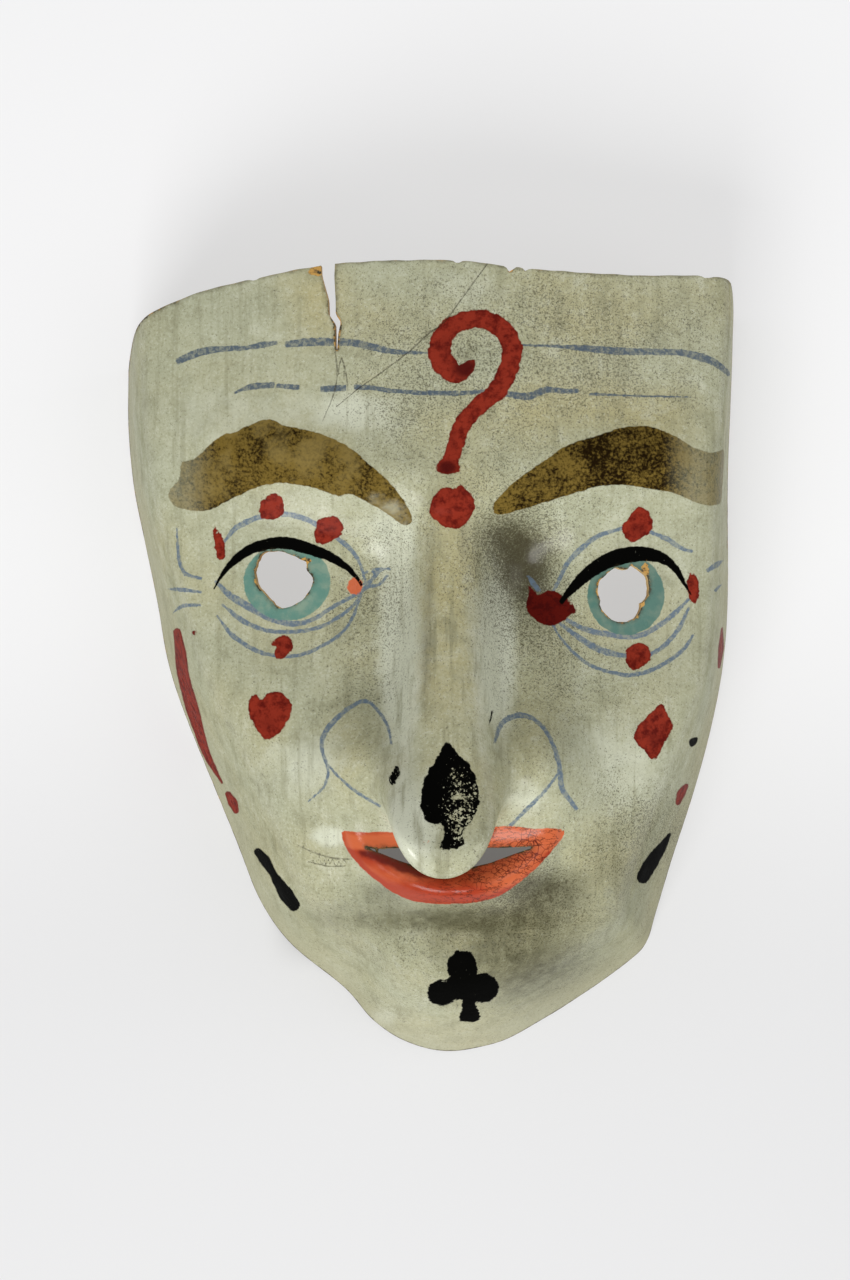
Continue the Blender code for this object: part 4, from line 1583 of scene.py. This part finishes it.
    def brow_layer(self, board: Board, colour: object, brow: object) -> bpy.types.NodeSocket:
        """The translucent brown brows, mottled dark, over the paint below them, with a painted
        highlight.

        Args:
            board: the material's board.
            colour: the colour below.
            brow: the brows' share.

        Returns:
            The colour with the brows.
        """
        off_x = board.spread(
            board.attribute("sheet_x"), self.dark_brow_middle, 1 / self.dark_brow_reach
        )
        off_x = board.math("MULTIPLY", off_x, off_x)
        darker = board.step(off_x, 1.0, 0.0, 0.16)
        mottle = board.math(
            "ADD", board.noise(1500, 4, 0.7), board.spread(board.noise(110, 3), 0.5, 0.6)
        )
        grains = board.cells(820).outputs["Distance"]
        mottle = board.math("ADD", mottle, board.spread(grains, 0.46, 0.22))
        mottle = board.math("ADD", mottle, darker)
        paint = board.mix(board.step(mottle, 0.38, 0.74), self.brow_light, self.brow_dark)
        blotch = board.step(board.noise(85, 4, 0.6), 0.46, 0.66, 0.55)
        on_left = board.step(board.attribute("sheet_x"), 0.4, -0.4)
        paint = board.mix(board.math("MULTIPLY", blotch, on_left), paint, self.brow_pale)
        # Pale ground shows through the brows where the pale field is high: pale wear, and a
        # painted highlight at the inner end of the left brow.
        glare = board.spread(board.noise(420, 4), 0.5, 0.9)
        shiny = board.math("ADD", board.attribute("pale_and_highlight"), glare)
        paint = board.mix(board.step(shiny, 0.45, 1.3, 0.42), paint, self.pale_ground_and_highlight)
        outer = board.step(board.attribute("sheet_x"), -2.50, -2.05, 0.40)
        cover = board.math("ADD", outer, 0.60)
        faded = board.step(board.attribute("sheet_x"), 2.35, 2.75, 0.38)
        cover = board.math("SUBTRACT", cover, faded)
        return board.mix(board.math("MULTIPLY", brow, cover), colour, paint)

    def spade_wear(self, board: Board) -> bpy.types.NodeSocket:
        """How much of the black is left: flaked on the lower right of the spade.

        Args:
            board: the material's board.

        Returns:
            The share that is left.
        """
        (middle_x, middle_y), (reach_x, reach_y) = self.spade_wear_middle, self.spade_wear_reach
        off_x = board.spread(board.attribute("sheet_x"), middle_x, 1 / reach_x)
        off_y = board.spread(board.attribute("sheet_y"), middle_y, 1 / reach_y)
        square_x = board.math("MULTIPLY", off_x, off_x)
        square_y = board.math("MULTIPLY", off_y, off_y)
        far = board.math("SQRT", board.math("ADD", square_x, square_y))
        here = board.math("ADD", board.step(far, 1.6, 0.2, 0.22), 0.05)
        patches = board.spread(board.noise(420, 3), 0.5, 0.55)
        patches = board.math("MULTIPLY", board.step(far, 1.8, 1.0), patches)
        here = board.math("ADD", here, patches)
        flake = board.math("SUBTRACT", board.noise(1500, 3, 0.6), here)
        return board.step(flake, 0.14, 0.24)

    def worn_edges(self, board: Board, colour: object) -> bpy.types.NodeSocket:
        """Bare ochre core along the holes, the crack and parts of the rim.

        Args:
            board: the material's board.
            colour: the colour below.

        Returns:
            The colour with its bare places.
        """
        ragged = board.spread(board.noise(380, 4, 0.7), 0.5, 2.6)
        bare = board.math("ADD", board.attribute("edge_near"), ragged)
        forehead = board.step(board.attribute("sheet_y"), *self.forehead_band, 0.8)
        worn = board.math(
            "MULTIPLY", board.step(bare, 0.42, 0.05), board.math("SUBTRACT", 1.0, forehead)
        )
        chipped = self.fill_mask(board, "chips", 1.4)
        worn = board.math("MAXIMUM", worn, chipped)
        dusty = board.step(bare, 1.2, 0.1, 0.40)
        colour = board.mix(dusty, colour, self.dirt)
        mouth = board.step(board.attribute("sheet_y"), *self.mouth_band)
        fibre = board.math("ADD", board.noise(800, 3), board.math("MULTIPLY", mouth, 0.16))
        fibre = board.math("SUBTRACT", fibre, board.math("MULTIPLY", chipped, 0.12))
        core = board.mix(board.step(fibre, 0.36, 0.54), self.raw_core, self.dirt)
        return board.mix(worn, colour, core)


@dataclass(frozen=True)
class PulpFinish:
    """Bare paper pulp: two tones of fibre."""

    name: str
    light: Colour
    dark: Colour
    roughness: float = 0.85
    relief_depth: float = 0.0003

    def build(self) -> bpy.types.Material:
        """Makes the pulp's material.

        Returns:
            The material.
        """
        board = Board(self.name)
        fibre = board.noise(1.0, 5, 0.7, board.stretched((240, 620, 420)))
        wide = board.noise(60, 4)
        tone = board.math("ADD", fibre, board.spread(wide, 0.5, 0.9))
        board.put(
            board.shader.inputs["Base Color"],
            board.mix(board.step(tone, 0.3, 0.8), self.light, self.dark),
        )
        board.shader.inputs["Roughness"].default_value = self.roughness
        board.bump(fibre, self.relief_depth)
        return board.material


@dataclass(frozen=True)
class MapRegion:
    """A rectangle of the texture map."""

    low: Place
    high: Place

    def spot(self, across: np.ndarray, up: np.ndarray) -> np.ndarray:
        """Map places from shares of the rectangle.

        Args:
            across: shares of its width.
            up: shares of its height.

        Returns:
            The map's places, one row each.
        """
        return np.stack(
            [
                self.low[0] + (self.high[0] - self.low[0]) * across,
                self.low[1] + (self.high[1] - self.low[1]) * up,
            ],
            axis=1,
        )


@dataclass
class MaskShell:
    """The one piece: the moulded shell with its holes, rim and painting.

    Each wave of the pulp's unevenness has a length and a share of the dent's height.
    """

    form: MaskForm = field(default_factory=MaskForm)
    painting: Painting = field(default_factory=Painting)
    node: str = "mask"
    ragged: float = 0.00022
    dent: float = 0.0004
    waves: tuple[Place, ...] = ((0.046, 1.0), (0.027, 0.6), (0.015, 0.32), (0.009, 0.16))
    waves_each: int = 5
    hole_margin: float = 0.002
    hole_band: float = 0.0012
    edge_limit: float = 30.0
    top_start: float = 0.45
    map_gap: float = 0.02
    crease: float = 55.0
    seed: int = 7
    front_map: MapRegion = MapRegion((0.004, 0.004), (0.872, 0.872))
    inside_map: MapRegion = MapRegion((0.880, 0.004), (0.996, 0.872))
    rim_map: MapRegion = MapRegion((0.004, 0.884), (0.996, 0.924))
    holes_map: MapRegion = MapRegion((0.004, 0.934), (0.996, 0.994))

    def undulation(self, points: np.ndarray) -> np.ndarray:
        """Small hand-made unevenness of the pulp, as a height at plan places.

        Args:
            points: the plan places, one row each.

        Returns:
            The height at each place.
        """
        rng = np.random.default_rng(self.seed)
        height = np.zeros(len(points))
        for wavelength, share in self.waves:
            for _ in range(self.waves_each):
                turn, phase = rng.uniform(0, 2 * math.pi, 2)
                wave = points[:, 0] * math.cos(turn) + points[:, 1] * math.sin(turn)
                swell = np.sin(2 * math.pi * wave / wavelength + phase)
                height += share * swell / self.waves_each
        return self.dent * height

    def ragged_outline(self, outline: np.ndarray, rng: np.random.Generator) -> np.ndarray:
        """An outline with a torn edge."""
        return outline + rng.uniform(-self.ragged, self.ragged, outline.shape)

    def open_hole(self, bm: bmesh.types.BMesh, outline: np.ndarray) -> None:
        """Cuts a hole in the flat sheet and draws its edge onto the outline.

        Args:
            bm: the flat sheet.
            outline: the hole's outline in plan.
        """
        low, high = outline.min(axis=0) - self.hole_margin, outline.max(axis=0) + self.hole_margin
        faces = list(bm.faces)
        middles = np.array([face.calc_center_median()[:2] for face in faces])
        near = ((middles > low) & (middles < high)).all(axis=1)
        inside = np.zeros(len(faces), bool)
        inside[near] = inside_outline(middles[near], outline)
        gone = [face for face, cut in zip(faces, inside) if cut]
        touched = {vert for face in gone for vert in face.verts}
        bmesh.ops.delete(bm, geom=gone, context="FACES")
        border = [vert for vert in touched if vert.is_valid]
        places = np.array([vert.co[:2] for vert in border])
        _, _, _, spots = nearest_on_path(places, outline, True)
        for vert, spot in zip(border, spots):
            vert.co.x, vert.co.y = spot
        ring = {edge.other_vert(vert) for vert in border for edge in vert.link_edges}
        inner = [vert for vert in ring - set(border) if not vert.is_boundary]
        bmesh.ops.smooth_vert(
            bm, verts=inner, factor=0.5, use_axis_x=True, use_axis_y=True, use_axis_z=False
        )

    def front_skin(self) -> bpy.types.Object:
        """The outside of the mask as a sheet with its holes open.

        Returns:
            The sheet's object, with its grid and plan places kept as attributes.
        """
        form = self.form
        rng = np.random.default_rng(self.seed)
        bm = bmesh.new()
        bmesh.ops.create_grid(bm, x_segments=form.cells, y_segments=form.cells, size=1)
        corners = np.array([vert.co[:2] for vert in bm.verts])
        x, y = form.plan_place(corners[:, 0], corners[:, 1])
        layers = {
            name: bm.verts.layers.float.new(name)
            for name in ("grid_a", "grid_b", "plan_x", "plan_y")
        }
        for vert, (a, b), px, py in zip(bm.verts, corners, x, y):
            vert[layers["grid_a"]] = a
            vert[layers["grid_b"]] = b
            vert.co = (px, py, 0)
        for outline in form.hole_outlines().values():
            self.open_hole(bm, self.ragged_outline(outline, rng))
        flat = np.array([vert.co[:2] for vert in bm.verts])
        raised = form.surface(flat[:, 0], flat[:, 1])
        raised[:, 2] += self.undulation(flat)
        for vert, (px, py), place in zip(bm.verts, flat, raised):
            vert[layers["plan_x"]] = px
            vert[layers["plan_y"]] = py
            vert.co = place
        mesh = bpy.data.meshes.new("mask_front")
        bm.to_mesh(mesh)
        bm.free()
        skin = bpy.data.objects.new("mask_front", mesh)
        bpy.context.scene.collection.objects.link(skin)
        return skin

    def with_wall(self, skin: bpy.types.Object) -> bpy.types.Mesh:
        """The skin's mesh with its thickness on the inside.

        Args:
            skin: the front as a sheet, which is used up.

        Returns:
            A closed mesh whose faces hold the Skin numbers as material slots.
        """
        for finish in (
            FrontFinish(),
            PulpFinish("pulp_inside", linear(168, 152, 124), linear(112, 98, 76)),
            PulpFinish("pulp_edge", linear(206, 176, 120), linear(150, 112, 58)),
        ):
            skin.data.materials.append(finish.build())
        wall = skin.modifiers.new("wall", "SOLIDIFY")
        wall.thickness = self.form.shell
        wall.offset = -1
        wall.use_quality_normals = True
        wall.material_offset = Skin.INSIDE.value
        wall.material_offset_rim = Skin.EDGE.value
        bpy.context.view_layer.update()
        seen = skin.evaluated_get(bpy.context.evaluated_depsgraph_get())
        mesh = bpy.data.meshes.new_from_object(seen)
        count = len(mesh.vertices)
        depth = mesh.attributes.new("wall_depth", "FLOAT", "POINT")
        depth.data.foreach_set("value", (np.arange(count) >= count // 2).astype(np.float32))
        bpy.data.objects.remove(skin)
        return mesh

    def trim_rim(self, mesh: bpy.types.Mesh) -> None:
        """Cuts the rim flat where the mask lies, and closes the cut.

        Args:
            mesh: the shell's mesh, which is changed.
        """
        bm = bmesh.new()
        bm.from_mesh(mesh)
        everything = list(bm.verts) + list(bm.edges) + list(bm.faces)
        bmesh.ops.bisect_plane(
            bm,
            geom=everything,
            dist=1e-7,
            plane_co=(0, 0, 0),
            plane_no=(0, 0, 1),
            clear_inner=True,
        )
        rim = [edge for edge in bm.edges if edge.is_boundary]
        made = bmesh.ops.triangle_fill(bm, edges=rim, use_beauty=True, normal=(0, 0, -1))
        closing = [item for item in made["geom"] if isinstance(item, bmesh.types.BMFace)]
        for face in closing:
            face.material_index = Skin.EDGE.value
            face.normal_update()
            if face.normal.z > 0:
                face.normal_flip()
        bm.to_mesh(mesh)
        bm.free()

    def read(self, mesh: bpy.types.Mesh, name: str) -> np.ndarray:
        """A point attribute's values.

        Args:
            mesh: the shell's mesh.
            name: the attribute's name.

        Returns:
            A value for each point.
        """
        values = np.zeros(len(mesh.vertices), np.float32)
        mesh.attributes[name].data.foreach_get("value", values)
        return values.astype(float)

    def write(self, mesh: bpy.types.Mesh, name: str, values: np.ndarray) -> None:
        """Stores values as a point attribute."""
        made = mesh.attributes.new(name, "FLOAT", "POINT")
        made.data.foreach_set("value", values.astype(np.float32))

    def edge_near(self, points: np.ndarray, plan: np.ndarray) -> np.ndarray:
        """Distance to the nearest hole or rim in millimetres, up to the edge limit.

        Args:
            points: the shell's points, one row each.
            plan: their plan places, one row each.

        Returns:
            The distance at each point.
        """
        near = points[:, 2].copy()
        angle, distance = self.form.polar(plan[:, 0], plan[:, 1])
        on_top = np.sin(angle) > self.top_start
        top = np.where(on_top, self.form.rim_reach(angle) - distance, 1.0)
        near = np.minimum(near, top)
        for outline in self.form.hole_outlines().values():
            gap, _, _, _ = nearest_on_path(plan, outline, True)
            near = np.minimum(near, gap)
        return np.clip(near * 1000, 0, self.edge_limit)

    def lay_map(self, mesh: bpy.types.Mesh) -> None:
        """Lays out the texture map: front, inside, rim and the holes' edges.

        Args:
            mesh: the shell's mesh, which is changed.
        """
        grid = np.stack([self.read(mesh, "grid_a"), self.read(mesh, "grid_b")], axis=1)
        plan = np.stack([self.read(mesh, "plan_x"), self.read(mesh, "plan_y")], axis=1)
        depth = self.read(mesh, "wall_depth")
        loops = len(mesh.loops)
        corner = np.zeros(loops, np.int32)
        mesh.loops.foreach_get("vertex_index", corner)
        sizes = np.zeros(len(mesh.polygons), np.int32)
        mesh.polygons.foreach_get("loop_total", sizes)
        skins = np.zeros(len(mesh.polygons), np.int32)
        mesh.polygons.foreach_get("material_index", skins)
        face = np.repeat(np.arange(len(sizes)), sizes)
        starts = np.cumsum(sizes) - sizes
        share = (grid[corner] + 1) / 2
        front = self.front_map.spot(share[:, 0], share[:, 1])
        inside = self.inside_map.spot(share[:, 0], share[:, 1])
        centres = [np.array(self.form.centre) * self.form.size]
        gaps = [np.full(len(plan), self.hole_band)]
        for outline in self.form.hole_outlines().values():
            centres.append(outline.mean(axis=0))
            gap, _, _, _ = nearest_on_path(plan, outline, True)
            gaps.append(gap)
        nearest = np.argmin(np.stack(gaps), axis=0)
        which = nearest[corner[starts]][face]
        off = plan[corner] - np.array(centres)[which]
        turn = np.arctan2(off[:, 1], off[:, 0]) / (2 * math.pi) + 0.5
        first = turn[starts][face]
        turn = turn - np.round(turn - first)
        turn = np.clip(turn, 0, 1)
        rim = self.rim_map.spot(turn, depth[corner])
        openings = len(centres) - 1
        slot = which - 1 + self.map_gap + (1 - 2 * self.map_gap) * turn
        holes = self.holes_map.spot(slot / openings, depth[corner])
        edge = np.where((which == 0)[:, None], rim, holes)
        skin = skins[face][:, None]
        laid = np.where(skin == Skin.FRONT.value, front, edge)
        laid = np.where(skin == Skin.INSIDE.value, inside, laid)
        layer = mesh.uv_layers.new(name="OFBake")
        layer.data.foreach_set("uv", laid.astype(np.float32).ravel())

    def build(self, target_low: np.ndarray, target_high: np.ndarray) -> bpy.types.Object:
        """Builds the shell inside the solid's box.

        Args:
            target_low: the box's lowest corner.
            target_high: the box's highest corner.

        Returns:
            The finished mask.
        """
        mesh = self.with_wall(self.front_skin())
        self.trim_rim(mesh)
        points = np.zeros(len(mesh.vertices) * 3, np.float32)
        mesh.vertices.foreach_get("co", points)
        points = points.reshape(-1, 3).astype(float)
        plan = np.stack([self.read(mesh, "plan_x"), self.read(mesh, "plan_y")], axis=1)
        nose = self.form.nose(plan[:, 0], plan[:, 1])
        self.write(mesh, "edge_near", self.edge_near(points, plan))
        middle = (points.min(axis=0) + points.max(axis=0)) / 2
        points[:, :2] += ((target_low + target_high) / 2 - middle)[:2]
        mesh.vertices.foreach_set("co", points.astype(np.float32).ravel())
        for name, values in self.painting.fields(points, nose).items():
            self.write(mesh, name, values)
        self.lay_map(mesh)
        for name in ("grid_a", "grid_b", "plan_x", "plan_y", "wall_depth"):
            mesh.attributes.remove(mesh.attributes[name])
        mesh.shade_smooth()
        mesh.set_sharp_from_angle(angle=math.radians(self.crease))
        mesh.update()
        mask = bpy.data.objects.new("mask_shell", mesh)
        bpy.context.scene.collection.objects.link(mask)
        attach(mask, "root")
        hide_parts(self.node)
        LOG.info("mask_shell: %d faces", len(mesh.polygons))
        return mask


@dataclass(frozen=True)
class Lamp:
    """A square soft light: its place, its power in watts and its size."""

    name: str
    place: tuple[float, float, float]
    power: float
    size: float


@dataclass
class Studio:
    """The pale floor, the soft lights and the camera straight above.

    The floor glows a little as painted light under the mask, less from the chin downward, and
    less below the mouth as painted shade.
    """

    sheet: PaintSheet = field(default_factory=PaintSheet)
    floor_size: float = 6.0
    floor_drop: float = 0.0001
    floor_tone: Colour = (0.37, 0.37, 0.375)
    floor_roughness: float = 0.8
    sensor: float = 0.036
    near_clip: float = 0.05
    frame_units: float = 1280.0
    floor_glow: float = 0.53
    low_glow: float = 0.39
    glow_band: Place = (-0.09, 0.04)
    mouth_shade: float = 0.30
    mouth_place: float = -0.052
    shade_across: Place = (0.045, 0.030)
    shade_along: Place = (0.030, 0.015)
    lamps: tuple[Lamp, ...] = (
        Lamp("key", (-0.32, -0.85, 1.02), 14.0, 0.7),
        Lamp("top", (-0.50, 0.55, 1.20), 1.2, 0.8),
        Lamp("fill", (0.95, 0.10, 1.10), 5.5, 1.2),
    )
    sky: float = 0.35

    def build_floor(self) -> bpy.types.Object:
        """The floor that the mask lies on.

        Returns:
            The floor's object.
        """
        bm = bmesh.new()
        bmesh.ops.create_grid(bm, x_segments=1, y_segments=1, size=self.floor_size / 2)
        bmesh.ops.translate(bm, verts=bm.verts, vec=(0, 0, -self.floor_drop))
        mesh = bpy.data.meshes.new("floor")
        bm.to_mesh(mesh)
        bm.free()
        board = Board("floor")
        board.shader.inputs["Base Color"].default_value = (*self.floor_tone, 1)
        board.shader.inputs["Roughness"].default_value = self.floor_roughness
        board.shader.inputs["Emission Color"].default_value = (1, 1, 1, 1)
        split = board.tree.nodes.new("ShaderNodeSeparateXYZ")
        board.put(split.inputs[0], board.place)
        more = self.floor_glow - self.low_glow
        upper = board.step(split.outputs["Y"], *self.glow_band, more)
        glow = board.math("ADD", upper, self.low_glow)
        off_y = board.math("ABSOLUTE", board.spread(split.outputs["Y"], self.mouth_place, 1.0))
        off_x = board.math("ABSOLUTE", split.outputs["X"])
        shade = board.math(
            "MULTIPLY",
            board.step(off_x, *self.shade_across, self.mouth_shade),
            board.step(off_y, *self.shade_along),
        )
        board.put(
            board.shader.inputs["Emission Strength"], board.math("SUBTRACT", glow, shade)
        )
        mesh.materials.append(board.material)
        floor = bpy.data.objects.new("floor", mesh)
        bpy.context.scene.collection.objects.link(floor)
        floor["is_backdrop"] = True
        return floor

    def add_light(self, lamp: Lamp) -> bpy.types.Object:
        """Puts up a lamp that faces the mask.

        Args:
            lamp: the lamp.

        Returns:
            The light's object.
        """
        glow = bpy.data.lights.new(lamp.name, "AREA")
        glow.energy = lamp.power
        glow.size = lamp.size
        light = bpy.data.objects.new(lamp.name, glow)
        light.location = lamp.place
        light.rotation_euler = (-light.location).to_track_quat("-Z", "Y").to_euler()
        bpy.context.scene.collection.objects.link(light)
        return light

    def build(self) -> None:
        """Sets up the floor, lights, sky and camera."""
        self.build_floor()
        for lamp in self.lamps:
            self.add_light(lamp)
        bpy.context.scene.view_settings.view_transform = "Standard"
        world = bpy.context.scene.world or bpy.data.worlds.new("studio")
        bpy.context.scene.world = world
        world.use_nodes = True
        sky = world.node_tree.nodes["Background"]
        sky.inputs["Color"].default_value = (1, 1, 1, 1)
        sky.inputs["Strength"].default_value = self.sky
        lens = bpy.data.cameras.new("camera")
        lens.sensor_fit = "VERTICAL"
        lens.sensor_height = self.sensor * 1000
        lens.lens = 1000 * self.sensor * self.sheet.eye[2] / (self.frame_units * self.sheet.unit)
        lens.clip_start = self.near_clip
        camera = bpy.data.objects.new("camera", lens)
        camera.location = self.sheet.eye
        bpy.context.scene.collection.objects.link(camera)
        bpy.context.scene.camera = camera


def main() -> None:
    """Builds the mask inside the solid's box, and its studio."""
    logging.basicConfig(level=logging.INFO, format="%(message)s")
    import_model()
    solid_low, solid_high = (np.array(corner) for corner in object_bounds())
    MaskShell().build(solid_low, solid_high)
    Studio().build()


if __name__ == "__main__":
    main()
